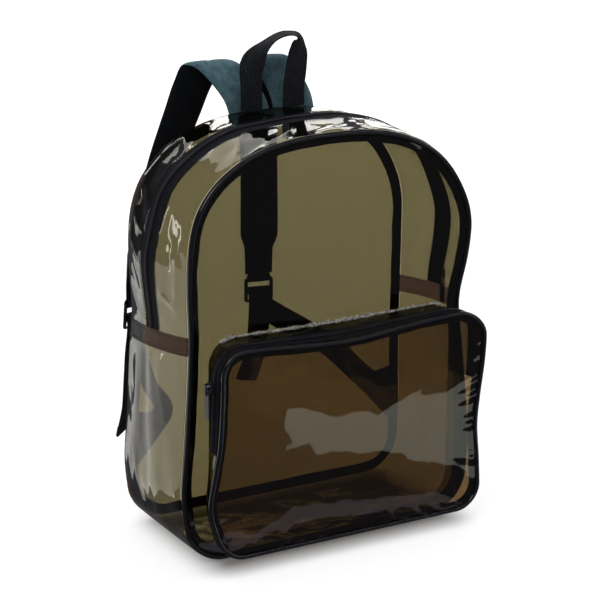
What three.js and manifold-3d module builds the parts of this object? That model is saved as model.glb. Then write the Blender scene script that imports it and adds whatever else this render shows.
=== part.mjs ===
// A clear stadium backpack of smoked vinyl with a zipped front pocket, black piping and two padded
// shoulder straps. Millimetres, +Z up, the front faces -Y, and the flat base stands on Z = 0.
// Left and right are those of someone looking at the front.

import * as THREE from 'three';
import { mergeVertices } from 'three/addons/utils/BufferGeometryUtils.js';
import Module from 'manifold-3d';

const wasm = await Module();
wasm.setup();

const { lerp, clamp, degToRad } = THREE.MathUtils;

// Shell
const bagWidth = 329;
const bagHeight = 432;
const bagDepth = 136;
const archStart = 297; // height at which the sides begin to turn in
const archSquareness = 2.5; // 2 makes the arch an ellipse, more makes it squarer
const cornerRadius = 40;
const vinyl = 1;
const gap = 0.3; // between pieces that touch
const frontDome = 8; // how far the front panel swells in its middle
const backDome = 4;
const gussetBulge = 10; // how far the sides swell between the front and the back seam

// Seams of the shell
const pipingDiameter = 5.5;
const weltDiameter = 3;
const bindingWidth = 11;
const bindingThickness = 1.2;

// Overlaps of the upper and the lower side strips
const bandTopFront = 242;
const bandTopBack = 228;
const bandHeight = 19;
const bandThickness = 2.4;
const bandProud = 0.7;

// Zips
const tapeThickness = 1;
const mainTapeWidth = 30;
const pocketTapeWidth = 21;
const coilWidth = 6;
const coilHeight = 2;

// Zip sliders and pullers
const sliderLength = 12;
const sliderWidth = 9;
const sliderThickness = 3.2;
const bridgeLength = 11;
const bridgeWidth = 3;
const bridgeStock = 1.3;
const bridgeHeadroom = 3;
const pullerLength = 32;
const pullerWidth = 7.5;
const pullerThickness = 1.6;
const pullerBar = 1.8; // the end of the puller that lies under the bridge
const pullerWindow = 6.4;
const sliderAboveBand = 3;
const sliderLift = 1.2; // above the coil

// Front pocket
const pocketWidth = 311;
const pocketHeight = 221;
const pocketDepth = 48;
const pocketFoot = 18; // height of its lower edge above the base
const pocketCorner = 30;
const pocketTaper = 13; // each side is this much nearer the middle where it meets the front panel
const pocketDome = 8;
const pocketBulge = 3;
const pocketSag = 7;
const pocketPiping = 5;
const pocketBindingWidth = 9;
const pocketZipLeft = 133; // height at which the zip ends on the left side
const pocketZipRight = 178;
const pocketEndLength = 18; // cloth end that closes the zip on the right side
const pocketEndThickness = 2;
const pocketSliderHeight = 200;

// Carrying gear
const webbingWidth = 25;
const webbingThickness = 1.5;
const handleSpacing = 50; // between the middles of the two legs
const handleCentre = 5;
const handleRise = 80;
const handleInset = 5; // in front of the back seam
const handleLean = 7;
const padWidth = 44;
const padThickness = 9;
const padRootShare = 0.45; // share of the thickness that is left where the pad is sewn in
const strapRise = 50; // how far the pads arch above the bag
const strapReach = 45; // how far they swing out behind it
const buckleBar = 2.4;
const bucklePitch = 12; // from bar to bar
const buckleSide = 3.5;
const buckleThickness = 2.6;
const buckleTabLength = 6;
const anchorHeight = 67;
const anchorFoot = 55;
const anchorReach = 31;
const anchorRise = 54; // height of the webbing's exit above the anchor's lower end
const anchorThickness = 2.4;
const anchorAngle = 45; // of the webbing where it leaves the anchor
const hemLength = 13; // folded free end of each strap's webbing

// Distances between the rings of points along the straps
const padPitch = 17;
const webbingPitch = 16;
const handlePitch = 12;

// Sway of the shell at heights up the bag. The first four columns push the seams out, in shares of
// the half width, and the last says how much of the side bulge shows there.
const bagShape = [
  { up: 0.0, frontLeft: 0, frontRight: 0, backLeft: 0, backRight: 0, bulge: 0 },
  { up: 0.1, frontLeft: 0.036, frontRight: 0.03, backLeft: 0.036, backRight: 0.02, bulge: 0.15 },
  { up: 0.18, frontLeft: 0.052, frontRight: 0.04, backLeft: 0.05, backRight: 0.025, bulge: 0.6 },
  { up: 0.3, frontLeft: 0.024, frontRight: 0.018, backLeft: 0.022, backRight: 0.018, bulge: 1 },
  { up: 0.43, frontLeft: 0, frontRight: -0.02, backLeft: 0, backRight: 0.02, bulge: 0.9 },
  { up: 0.55, frontLeft: -0.014, frontRight: -0.05, backLeft: -0.026, backRight: 0.026, bulge: 0.8 },
  { up: 0.66, frontLeft: -0.01, frontRight: 0.012, backLeft: -0.014, backRight: 0.03, bulge: 1 },
  { up: 0.75, frontLeft: -0.012, frontRight: 0.036, backLeft: -0.01, backRight: 0.03, bulge: 0.95 },
  { up: 0.86, frontLeft: 0, frontRight: 0.012, backLeft: 0, backRight: 0.01, bulge: 0.6 },
  { up: 1.0, frontLeft: 0, frontRight: 0, backLeft: 0, backRight: 0, bulge: 0.25 },
];

// The same for the pocket, up its own height, with its seam's sway in shares of its half width.
const pocketShape = [
  { up: 0.0, left: 0.0, right: 0.0, bulge: 0 },
  { up: 0.1, left: 0.02, right: 0.0, bulge: 0.6 },
  { up: 0.27, left: 0.078, right: -0.014, bulge: 1 },
  { up: 0.43, left: 0.04, right: -0.032, bulge: 1 },
  { up: 0.56, left: 0.004, right: -0.018, bulge: 1 },
  { up: 0.76, left: -0.018, right: 0.018, bulge: 1 },
  { up: 0.9, left: -0.02, right: 0.024, bulge: 0.6 },
  { up: 1.0, left: 0, right: 0.0, bulge: -0.8 },
];

// Sag of the pocket's upper edge, from its left to its right corner.
const pocketTop = [
  { across: -1, sag: 0.1 },
  { across: -0.72, sag: 0.1 },
  { across: -0.3, sag: 0.8 },
  { across: 0, sag: 1 },
  { across: 0.4, sag: 0.25 },
  { across: 0.7, sag: -0.15 },
  { across: 1, sag: 0 },
];

// Route of each shoulder pad, from its root at the top of the back seam to its lower end. Across is
// in shares of the half width, behind of strapReach, up of bagHeight and rise of strapRise. The turn
// is that of its width about the vertical, in degrees, and square is 0 where its section is level
// and 1 where it is square to its run.
const padRoutes = {
  left: [
    { across: -0.1, behind: 0, up: 0.98, rise: 0, turn: 0, square: 0, width: 1.08, thick: padRootShare },
    { across: -0.13, behind: 0.07, up: 1, rise: 0.2, turn: 0, square: 0, width: 1.08, thick: 0.7 },
    { across: -0.2, behind: 0.27, up: 1, rise: 0.62, turn: -4, square: 0, width: 1.1, thick: 1 },
    { across: -0.275, behind: 0.52, up: 1, rise: 0.9, turn: -10, square: 0, width: 1.12, thick: 1 },
    { across: -0.33, behind: 0.75, up: 1, rise: 0.86, turn: -8, square: 0.3, width: 1.04, thick: 1 },
    { across: -0.385, behind: 0.88, up: 1, rise: 0.5, turn: 0, square: 0.7, width: 1, thick: 1 },
    { across: -0.455, behind: 0.94, up: 0.99, rise: 0, turn: 6, square: 1, width: 1, thick: 1 },
    { across: -0.585, behind: 0.96, up: 0.868, rise: 0, turn: 12, square: 1, width: 1, thick: 1 },
    { across: -0.7, behind: 0.89, up: 0.752, rise: 0, turn: 22, square: 1, width: 1, thick: 1 },
    { across: -0.81, behind: 0.8, up: 0.645, rise: 0, turn: 34, square: 1, width: 0.98, thick: 0.9 },
    { across: -0.85, behind: 0.76, up: 0.6, rise: 0, turn: 38, square: 1, width: 0.64, thick: 0.6 },
    { across: -0.868, behind: 0.71, up: 0.547, rise: 0, turn: 40, square: 1, width: 0.6, thick: 0.5 },
  ],
  right: [
    { across: 0.218, behind: 0, up: 0.98, rise: 0, turn: 0, square: 0, width: 1.1, thick: padRootShare },
    { across: 0.2, behind: 0.07, up: 1, rise: 0.2, turn: -2, square: 0, width: 1.08, thick: 0.7 },
    { across: 0.155, behind: 0.27, up: 1, rise: 0.62, turn: -8, square: 0, width: 1.02, thick: 1 },
    { across: 0.11, behind: 0.52, up: 1, rise: 0.92, turn: -12, square: 0, width: 1.04, thick: 1 },
    { across: 0.09, behind: 0.75, up: 1, rise: 0.86, turn: -10, square: 0.3, width: 1.03, thick: 1 },
    { across: 0.08, behind: 0.86, up: 1, rise: 0.5, turn: -6, square: 0.7, width: 1, thick: 1 },
    { across: 0.075, behind: 0.88, up: 0.99, rise: 0, turn: -4, square: 1, width: 1, thick: 1 },
    { across: 0.07, behind: 0.76, up: 0.857, rise: 0, turn: 0, square: 1, width: 1, thick: 1 },
    { across: 0.05, behind: 0.62, up: 0.74, rise: 0, turn: -2, square: 1, width: 1, thick: 1 },
    { across: 0.036, behind: 0.54, up: 0.665, rise: 0, turn: -3, square: 1, width: 1, thick: 0.9 },
    { across: 0.028, behind: 0.51, up: 0.635, rise: 0, turn: -3, square: 1, width: 0.76, thick: 0.6 },
    { across: 0.022, behind: 0.48, up: 0.57, rise: 0, turn: -4, square: 1, width: 0.72, thick: 0.5 },
  ],
};

// Free tail of each strap's webbing below its buckle, in shares of its length.
const tails = {
  left: {
    length: 112,
    rows: [
      { across: -0.01, behind: 0.03, down: 0.2 },
      { across: -0.01, behind: 0.08, down: 0.5 },
      { across: 0, behind: 0.15, down: 0.78 },
      { across: 0, behind: 0.23, down: 0.97 },
    ],
  },
  right: {
    length: 76,
    rows: [
      { across: 0, behind: 0.02, down: 0.22 },
      { across: -0.01, behind: 0.05, down: 0.5 },
      { across: -0.04, behind: 0.09, down: 0.76 },
      { across: -0.09, behind: 0.15, down: 0.99 },
    ],
  },
};

// Where each strap's webbing leaves the buckle's middle bar for its tail, in shares of bucklePitch
// and of the tail's distance from the buckle's plane.
const tailLead = [
  { below: 0.62, behind: 0.95 },
  { below: 0.9, behind: 1 },
  { below: 1.5, behind: 1 },
];

// Each strap's webbing between its anchor and its buckle, at parts of the straight line that joins
// them. The lift above that line is in shares of its length.
const loadRoutes = {
  left: [
    { part: 0.35, lift: 0.04 },
    { part: 0.65, lift: 0.02 },
    { part: 0.86, lift: 0 },
  ],
  right: [
    { part: 0.35, lift: 0.05 },
    { part: 0.65, lift: 0.025 },
    { part: 0.86, lift: 0 },
  ],
};

// The handle from its left to its right leg. Across is in shares of half the spacing of the legs,
// rise and lean in shares of handleRise and handleLean, and the turn is that of the webbing's width.
const handleRoute = [
  { across: -1, rise: 0, lean: 0, turn: 0 },
  { across: -1, rise: 0.32, lean: 0, turn: 0 },
  { across: -0.97, rise: 0.54, lean: 0.2, turn: -10 },
  { across: -0.62, rise: 0.73, lean: 0.6, turn: -62 },
  { across: -0.03, rise: 0.86, lean: 0.9, turn: -104 },
  { across: 0.55, rise: 0.93, lean: 1, turn: -106 },
  { across: 1, rise: 0.94, lean: 1, turn: -104 },
  { across: 1.38, rise: 0.89, lean: 0.9, turn: -126 },
  { across: 1.34, rise: 0.75, lean: 0.6, turn: -166 },
  { across: 1.16, rise: 0.5, lean: 0.2, turn: -180 },
  { across: 1, rise: 0.2, lean: 0, turn: -180 },
  { across: 1, rise: 0, lean: 0, turn: -180 },
];

// Cross sections of straps, in shares of their width and thickness.
const padSection = [
  { wide: -0.5, thick: -0.15 },
  { wide: -0.41, thick: -0.5 },
  { wide: 0.41, thick: -0.5 },
  { wide: 0.5, thick: -0.15 },
  { wide: 0.5, thick: 0.15 },
  { wide: 0.41, thick: 0.5 },
  { wide: -0.41, thick: 0.5 },
  { wide: -0.5, thick: 0.15 },
];
const webbingSection = [
  { wide: -0.5, thick: -0.5 },
  { wide: 0.5, thick: -0.5 },
  { wide: 0.5, thick: 0.5 },
  { wide: -0.5, thick: 0.5 },
];

const sides = [
  { name: 'left', sign: -1 },
  { name: 'right', sign: 1 },
];

// Reads one column of a table whose rows rise in `key`, on a smooth curve through the rows.
function readTable(table, key, place, column) {
  const last = table.length - 1;
  let row = 0;
  while (row < last - 1 && place > table[row + 1][key]) row += 1;
  const slope = (index) => {
    const before = table[Math.max(index - 1, 0)];
    const after = table[Math.min(index + 1, last)];
    return (after[column] - before[column]) / (after[key] - before[key]);
  };
  const span = table[row + 1][key] - table[row][key];
  const t = clamp((place - table[row][key]) / span, 0, 1);
  const ease = t * t * (3 - 2 * t);
  const leave = t * (1 - t) * (1 - t) * span * slope(row);
  const arrive = t * t * (t - 1) * span * slope(row + 1);
  return lerp(table[row][column], table[row + 1][column], ease) + leave + arrive;
}

// A closed body from points and triangles: points that coincide are merged, triangles that this
// flattens are dropped, and the faces are turned to point out.
function body(points, triangles) {
  const loose = new THREE.BufferGeometry().setFromPoints(points);
  loose.setIndex(triangles.flat());
  const merged = mergeVertices(loose, 0.001);
  const places = merged.getAttribute('position');
  const corner = (index) => new THREE.Vector3().fromBufferAttribute(places, index);
  const faces = [];
  let volume = 0;
  for (let start = 0; start < merged.index.count; start += 3) {
    const [a, b, c] = [0, 1, 2].map((offset) => merged.index.getX(start + offset));
    if (a !== b && b !== c && c !== a) {
      faces.push([a, b, c]);
      volume += corner(a).dot(corner(b).cross(corner(c)));
    }
  }
  merged.setIndex(faces.map(([a, b, c]) => (volume > 0 ? [a, b, c] : [a, c, b])).flat());
  merged.computeVertexNormals();
  return merged;
}

const quad = (a, b, c, d) => [[a, b, c], [a, c, d]];

// A closed sheet with an outer skin (0) and an inner skin (1) over a grid of places. Where its last
// column meets its first again it has no edges there.
function sheet(columnStops, rowStops, surface, ringed = false) {
  const columns = columnStops.length;
  const rows = rowStops.length;
  const [end, top] = [columns - 1, rows - 1];
  const points = [0, 1].flatMap((skin) =>
    columnStops.flatMap((column) => rowStops.map((row) => surface(column, row, skin))));
  const at = (column, row, skin) => (skin * columns + column) * rows + row;
  const triangles = [];
  for (let column = 0; column < end; column += 1) {
    const next = column + 1;
    for (let row = 0; row < top; row += 1) {
      const over = row + 1;
      triangles.push(
        ...quad(at(column, row, 0), at(next, row, 0), at(next, over, 0), at(column, over, 0)),
        ...quad(at(column, row, 1), at(column, over, 1), at(next, over, 1), at(next, row, 1)),
      );
    }
    triangles.push(
      ...quad(at(column, 0, 1), at(next, 0, 1), at(next, 0, 0), at(column, 0, 0)),
      ...quad(at(column, top, 0), at(next, top, 0), at(next, top, 1), at(column, top, 1)),
    );
  }
  for (let row = 0; row < top && !ringed; row += 1) {
    const over = row + 1;
    triangles.push(
      ...quad(at(0, row, 0), at(0, over, 0), at(0, over, 1), at(0, row, 1)),
      ...quad(at(end, row, 1), at(end, over, 1), at(end, over, 0), at(end, row, 0)),
    );
  }
  return body(points, triangles);
}

// A closed body through rings of as many points each. It is capped at both ends, or runs back
// into its first ring.
function loft(rings, ringed = false) {
  const count = rings[0].length;
  const at = (ring, point) => (ring % rings.length) * count + (point % count);
  const triangles = [];
  const end = rings.length - 1;
  for (let ring = 0; ring < (ringed ? rings.length : end); ring += 1) {
    const over = ring + 1;
    for (let point = 0; point < count; point += 1) {
      const next = point + 1;
      triangles.push(...quad(at(ring, point), at(ring, next), at(over, next), at(over, point)));
    }
  }
  for (let point = 1; point < count - 1 && !ringed; point += 1) {
    const next = point + 1;
    triangles.push([at(0, 0), at(0, next), at(0, point)], [at(end, 0), at(end, point), at(end, next)]);
  }
  return body(rings.flat(), triangles);
}

// Joins two closed bodies into one.
function join(first, second) {
  const [one, two] = [first, second].map((geometry) => {
    const bare = geometry.clone();
    bare.deleteAttribute('normal');
    bare.deleteAttribute('uv');
    const merged = mergeVertices(bare, 0.0001);
    const vertProperties = new Float32Array(merged.getAttribute('position').array);
    const triVerts = new Uint32Array(merged.index.array);
    return new wasm.Manifold(new wasm.Mesh({ numProp: 3, vertProperties, triVerts }));
  });
  const { vertProperties, triVerts } = one.add(two).getMesh();
  const joined = new THREE.BufferGeometry();
  joined.setAttribute('position', new THREE.BufferAttribute(vertProperties, 3));
  joined.setIndex(new THREE.BufferAttribute(triVerts, 1));
  joined.computeVertexNormals();
  return joined;
}

// Half of a superellipse: the arch over the bag, from its right to its left foot.
class Arch extends THREE.Curve {
  getPoint(t, target = new THREE.Vector2()) {
    const angle = Math.PI * t;
    const across = Math.cos(angle);
    const power = 2 / archSquareness;
    const x = Math.sign(across) * Math.abs(across) ** power * (bagWidth / 2);
    const rise = Math.abs(Math.sin(angle)) ** power * (bagHeight - archStart);
    return target.set(x, archStart + rise);
  }
}

const line = (x0, z0, x1, z1) =>
  new THREE.LineCurve(new THREE.Vector2(x0, z0), new THREE.Vector2(x1, z1));
const quarter = (x, z, radius, turns) =>
  new THREE.EllipseCurve(x, z, radius, radius, (turns - 1) * (Math.PI / 2), turns * (Math.PI / 2));

// A closed outline in the X-Z plane. It starts at the middle of the base and runs up the right
// side, over the top and down the left side. A place on it is a share of its length.
function makeOutline(spans, sideFoot) {
  const path = new THREE.CurvePath();
  spans.forEach(({ curve }) => path.add(curve));
  const ends = path.getCurveLengths();
  const total = ends.at(-1);
  const stops = [0];
  spans.forEach(({ steps }, index) => {
    const start = index === 0 ? 0 : ends[index - 1];
    for (let step = 1; step <= steps; step += 1) {
      stops.push(lerp(start, ends[index], step / steps) / total);
    }
  });
  const place = (share) => path.getPoint(((share % 1) + 1) % 1);
  const rightAt = (height) => (ends[1] + height - sideFoot) / total;
  const leftAt = (height) => 1 - rightAt(height);
  return { stops, place, rightAt, leftAt };
}

const bagHalf = bagWidth / 2;
const bagOutline = makeOutline([
  { curve: line(0, 0, bagHalf - cornerRadius, 0), steps: 2 },
  { curve: quarter(bagHalf - cornerRadius, cornerRadius, cornerRadius, 0), steps: 4 },
  { curve: line(bagHalf, cornerRadius, bagHalf, archStart), steps: 10 },
  { curve: new Arch(), steps: 26 },
  { curve: line(-bagHalf, archStart, -bagHalf, cornerRadius), steps: 10 },
  { curve: quarter(cornerRadius - bagHalf, cornerRadius, cornerRadius, 3), steps: 4 },
  { curve: line(cornerRadius - bagHalf, 0, 0, 0), steps: 2 },
], cornerRadius);

const pocketHalf = pocketWidth / 2;
const pocketCrown = pocketFoot + pocketHeight;
const pocketSideFoot = pocketFoot + pocketCorner;
const pocketSideTop = pocketCrown - pocketCorner;
const pocketInner = pocketHalf - pocketCorner;
const pocketOutline = makeOutline([
  { curve: line(0, pocketFoot, pocketInner, pocketFoot), steps: 2 },
  { curve: quarter(pocketInner, pocketSideFoot, pocketCorner, 0), steps: 4 },
  { curve: line(pocketHalf, pocketSideFoot, pocketHalf, pocketSideTop), steps: 8 },
  { curve: quarter(pocketInner, pocketSideTop, pocketCorner, 1), steps: 4 },
  { curve: line(pocketInner, pocketCrown, -pocketInner, pocketCrown), steps: 8 },
  { curve: quarter(-pocketInner, pocketSideTop, pocketCorner, 2), steps: 4 },
  { curve: line(-pocketHalf, pocketSideTop, -pocketHalf, pocketSideFoot), steps: 8 },
  { curve: quarter(-pocketInner, pocketSideFoot, pocketCorner, 3), steps: 4 },
  { curve: line(-pocketInner, pocketFoot, 0, pocketFoot), steps: 2 },
], pocketSideFoot);

// How much of a panel's dome shows at a place on it, from 0 at its edge to 1 in the middle.
function domeShare(x, z) {
  const across = Math.abs(x) / bagHalf;
  const over = Math.max(z - archStart, 0) / (bagHeight - archStart);
  const under = Math.max(archStart - z, 0) / archStart;
  const flatness = 8;
  const belowArch = Math.max(0, 1 - across ** archSquareness - over ** archSquareness);
  return belowArch * (1 - under ** flatness);
}

const frontFace = (x, z) => -bagDepth / 2 - vinyl / 2 - frontDome * domeShare(x, z);
const backFace = (x, z) => bagDepth / 2 + vinyl / 2 + backDome * domeShare(x, z);

// Outlines of the bag and of the pocket as they sway, at a share of the way back.
function bagRing(share, back) {
  const ring = bagOutline.place(share);
  const side = ring.x > 0 ? 'Right' : 'Left';
  const up = ring.y / bagHeight;
  const front = readTable(bagShape, 'up', up, `front${side}`);
  const rear = readTable(bagShape, 'up', up, `back${side}`);
  return ring.set(ring.x * (1 + lerp(front, rear, clamp(back, 0, 1))), ring.y);
}

function pocketRing(share, back) {
  const ring = pocketOutline.place(share);
  const up = (ring.y - pocketFoot) / pocketHeight;
  const sway = readTable(pocketShape, 'up', up, ring.x > 0 ? 'right' : 'left');
  const sag = pocketSag * readTable(pocketTop, 'across', ring.x / pocketHalf, 'sag') * up ** 4;
  const front = clamp(1 - back, 0, 1);
  const taper = (pocketTaper / pocketHalf) * (1 - front);
  return ring.set(ring.x * (1 + sway * front - taper), ring.y - sag * front);
}

// Direction square to an outline, away from its middle.
function outward(ring, share, back) {
  const aside = 0.004; // how far to each side the run of the outline is taken from
  const run = ring(share + aside, back).sub(ring(share - aside, back)).normalize();
  return new THREE.Vector2(run.y, -run.x);
}

// A place on the bag's or the pocket's side wall: a share round the outline, a distance behind the
// front seam, and a distance out from the wall.
function bagWall(share, behind, out) {
  const back = behind / bagDepth;
  const ring = bagRing(share, back);
  const bulge = gussetBulge * readTable(bagShape, 'up', ring.y / bagHeight, 'bulge');
  const swell = bulge * Math.max(0, 4 * back * (1 - back));
  const normal = outward(bagRing, share, back).multiplyScalar(out + swell);
  return new THREE.Vector3(ring.x + normal.x, behind - bagDepth / 2, ring.y + normal.y);
}

const pocketFront = -bagDepth / 2 - pocketDepth;
function pocketReach(share) {
  const ring = pocketRing(share, 1);
  return frontFace(ring.x, ring.y) - gap - pocketFront;
}

function pocketWall(share, behind, out) {
  const back = behind / pocketReach(share);
  const ring = pocketRing(share, back);
  const up = (ring.y - pocketFoot) / pocketHeight;
  const bulge = pocketBulge * readTable(pocketShape, 'up', up, 'bulge');
  const swell = bulge * Math.max(0, 4 * back * (1 - back));
  const normal = outward(pocketRing, share, back).multiplyScalar(out + swell);
  return new THREE.Vector3(ring.x + normal.x, pocketFront + behind, ring.y + normal.y);
}

// A strip of a side wall between two places round the outline and two distances behind the front
// seam. Its ends may depend on the distance behind, and its edges on the place.
function strip(wall, outline, { from, to, front, back, rows = 1, out = 0, thick = vinyl }) {
  const asFunction = (value) => (typeof value === 'function' ? value : () => value);
  const [start, end, near, far] = [from, to, front, back].map(asFunction);
  const [low, high] = [start(0), end(0)];
  const stops = [...outline.stops.map((stop) => stop - 1), ...outline.stops];
  const shortest = 0.006; // no column is narrower than this share of the outline
  const inside = stops.filter((stop) => stop > low + shortest && stop < high - shortest);
  const columnStops = [low, ...new Set(inside), high].map((stop) => (stop - low) / (high - low));
  const rowStops = Array.from({ length: rows + 1 }, (_, row) => row / rows);
  return sheet(columnStops, rowStops, (column, row, skin) => {
    const rough = lerp(low, high, column);
    const behind = lerp(near(rough), far(rough), row);
    const share = lerp(start(behind), end(behind), column);
    return wall(share, behind, out - skin * thick);
  });
}

// A trim that runs all the way round an outline, through a section of places beside the seam.
function trim(wall, outline, section) {
  const rings = outline.stops.slice(0, -1).map((share) =>
    section.map(({ behind, out }) => wall(share, behind, out)));
  return loft(rings, true);
}

const roundSection = (radius, behind, out, sideCount) =>
  Array.from({ length: sideCount }, (_, index) => {
    const angle = (index / sideCount) * 2 * Math.PI;
    return { behind: behind + radius * Math.cos(angle), out: out + radius * Math.sin(angle) };
  });

const flatSection = (behind, thick, out, width) => [
  { behind, out },
  { behind: behind + thick, out },
  { behind: behind + thick, out: out - width },
  { behind, out: out - width },
];

// A panel that fills an outline, in rings from its edge to its middle.
function panel(edge, outline, centre, faceAt) {
  const radii = [1, 0.93, 0.8, 0.58, 0.3, 0];
  return sheet(outline.stops, radii, (share, radius, skin) => {
    const rim = edge(share);
    const x = lerp(centre.x, rim.x, radius);
    const z = lerp(centre.y, rim.z, radius);
    return new THREE.Vector3(x, faceAt(x, z, radius, skin), z);
  }, true);
}

// A strap through rows that each give a place, the direction of the width, and the width and
// thickness there.
function ribbon(rows, section, pitch) {
  const route = new THREE.CatmullRomCurve3(rows.map(({ at }) => at), false, 'centripetal');
  const rings = [];
  const addRing = (row, part) => {
    const next = rows[Math.min(row + 1, rows.length - 1)];
    const t = (row + part) / (rows.length - 1);
    const run = route.getTangent(t);
    const across = rows[row].across.clone().lerp(next.across, part);
    across.addScaledVector(run, -lerp(rows[row].square ?? 1, next.square ?? 1, part) * across.dot(run));
    across.normalize();
    const face = across.clone().cross(run).normalize();
    const width = lerp(rows[row].width, next.width, part);
    const thick = lerp(rows[row].thick, next.thick, part);
    const centre = route.getPoint(t);
    rings.push(section.map((place) => centre.clone()
      .addScaledVector(across, place.wide * width)
      .addScaledVector(face, place.thick * thick)));
  };
  for (let row = 0; row < rows.length - 1; row += 1) {
    const parts = Math.max(1, Math.round(rows[row].at.distanceTo(rows[row + 1].at) / pitch));
    for (let part = 0; part < parts; part += 1) addRing(row, part / parts);
  }
  addRing(rows.length - 1, 0);
  return loft(rings);
}

const level = (turn) => new THREE.Vector3(Math.cos(degToRad(turn)), Math.sin(degToRad(turn)), 0);

// Materials
const finish = (color, roughness, extra = {}) =>
  new THREE.MeshStandardMaterial({ color, roughness, metalness: 0, ...extra });
const smokedVinyl = finish(0x6a6346, 0.12, { transparent: true, opacity: 0.55 });
const layeredVinyl = finish(0x3a2c18, 0.2, { transparent: true, opacity: 0.85 });
const blackCord = finish(0x17181c, 0.3);
const blackTape = finish(0x131417, 0.75);
const blackWebbing = finish(0x111418, 0.85);
const greyCloth = finish(0x50686e, 0.9);
const blackPlastic = finish(0x15161a, 0.4);
const blackMetal = finish(0x1b1b1f, 0.35, { metalness: 0.7 });

const bag = new THREE.Group();
function add(name, geometry, material) {
  const mesh = new THREE.Mesh(geometry, material);
  mesh.name = name;
  bag.add(mesh);
  return mesh;
}

// Front and back panels with the trims of their seams
const pipingRadius = pipingDiameter / 2;
const pipingInset = pipingRadius + gap;
const weltRadius = weltDiameter / 2;
const weltInset = weltRadius + gap;
const bagCentre = new THREE.Vector2(0, bagHeight / 2);
const frontEdge = pipingRadius + gap; // where the side walls begin behind the front seam
const backEdge = bagDepth - weltRadius - gap;

add('front_panel', panel(
  (share) => bagWall(share, 0, -pipingInset - pipingRadius - gap),
  bagOutline,
  bagCentre,
  (x, z, radius, skin) => frontFace(x, z) + skin * vinyl,
), smokedVinyl);
add('back_panel', panel(
  (share) => bagWall(share, bagDepth, -weltInset - weltRadius - gap),
  bagOutline,
  bagCentre,
  (x, z, radius, skin) => backFace(x, z) - skin * vinyl,
), smokedVinyl);
add('front_piping', trim(
  bagWall,
  bagOutline,
  roundSection(pipingRadius, 0, -pipingInset, 6),
), blackCord);
add('back_welt', trim(
  bagWall,
  bagOutline,
  roundSection(weltRadius, bagDepth, -weltInset, 5),
), layeredVinyl);
const bindingOut = bandProud - bandThickness - 3 * gap;
add('front_binding', trim(
  bagWall,
  bagOutline,
  flatSection(frontEdge, bindingThickness, bindingOut, bindingWidth),
), blackTape);
add('back_binding', trim(
  bagWall,
  bagOutline,
  flatSection(backEdge - bindingThickness, bindingThickness, bindingOut, bindingWidth),
), blackTape);

// Side walls, base and the main zip
const bandTop = (behind) => lerp(bandTopFront, bandTopBack, behind / bagDepth);
const bandFoot = (behind) => bandTop(behind) - bandHeight;
const zipMiddle = bagDepth / 2;
const overArch = {
  from: (behind) => bagOutline.rightAt(bandTop(behind) + gap),
  to: (behind) => bagOutline.leftAt(bandTop(behind) + gap),
};

add('gusset_lower', strip(bagWall, bagOutline, {
  from: (behind) => bagOutline.leftAt(bandFoot(behind) - gap) - 1,
  to: (behind) => bagOutline.rightAt(bandFoot(behind) - gap),
  front: frontEdge,
  back: backEdge,
  rows: 4,
}), smokedVinyl);
add('gusset_upper_front', strip(bagWall, bagOutline, {
  ...overArch,
  front: frontEdge,
  back: zipMiddle - mainTapeWidth / 2 - gap,
  rows: 2,
}), smokedVinyl);
add('gusset_upper_back', strip(bagWall, bagOutline, {
  ...overArch,
  front: zipMiddle + mainTapeWidth / 2 + gap,
  back: backEdge,
  rows: 2,
}), smokedVinyl);
add('main_zip_tape', strip(bagWall, bagOutline, {
  ...overArch,
  front: zipMiddle - mainTapeWidth / 2,
  back: zipMiddle + mainTapeWidth / 2,
  rows: 2,
  thick: tapeThickness,
}), blackTape);
add('main_zip_coil', strip(bagWall, bagOutline, {
  ...overArch,
  front: zipMiddle - coilWidth / 2,
  back: zipMiddle + coilWidth / 2,
  out: gap + coilHeight,
  thick: coilHeight,
}), blackPlastic);
sides.forEach(({ name, sign }) => {
  const at = sign > 0 ? bagOutline.rightAt : bagOutline.leftAt;
  const edges = [bandFoot, bandTop].map((height) => (behind) => at(height(behind)));
  const [from, to] = sign > 0 ? edges : edges.reverse();
  add(`side_band_${name}`, strip(bagWall, bagOutline, {
    from,
    to,
    front: frontEdge,
    back: backEdge,
    rows: 6,
    out: bandProud,
    thick: bandThickness,
  }), layeredVinyl);
});

// Front pocket
const pocketPipingRadius = pocketPiping / 2;
const pocketEdge = pocketPipingRadius + gap;
const pocketTapeBack = pocketEdge + pocketTapeWidth;
const pocketZip = {
  from: pocketOutline.rightAt(pocketZipRight + gap),
  to: pocketOutline.leftAt(pocketZipLeft + gap),
};
add('pocket_front_panel', panel(
  (share) => pocketWall(share, 0, -2 * pocketEdge),
  pocketOutline,
  new THREE.Vector2(0, pocketFoot + pocketHeight / 2),
  (x, z, radius, skin) => pocketFront - vinyl / 2 - pocketDome * (1 - radius ** 3) + skin * vinyl,
), smokedVinyl);
add('pocket_piping', trim(
  pocketWall,
  pocketOutline,
  roundSection(pocketPipingRadius, 0, -pocketEdge, 6),
), blackCord);
add('pocket_binding', trim(
  pocketWall,
  pocketOutline,
  flatSection(pocketEdge, bindingThickness, -pocketEndThickness / 2 - 2 * gap, pocketBindingWidth),
), blackTape);
add('pocket_zip_tape', strip(pocketWall, pocketOutline, {
  ...pocketZip,
  front: pocketEdge,
  back: pocketTapeBack,
  rows: 4,
  thick: tapeThickness,
}), blackTape);
const pocketCoilMiddle = pocketEdge + pocketTapeWidth / 2;
add('pocket_zip_coil', strip(pocketWall, pocketOutline, {
  ...pocketZip,
  front: pocketCoilMiddle - coilWidth / 2,
  back: pocketCoilMiddle + coilWidth / 2,
  out: gap + coilHeight,
  thick: coilHeight,
}), blackPlastic);
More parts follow.
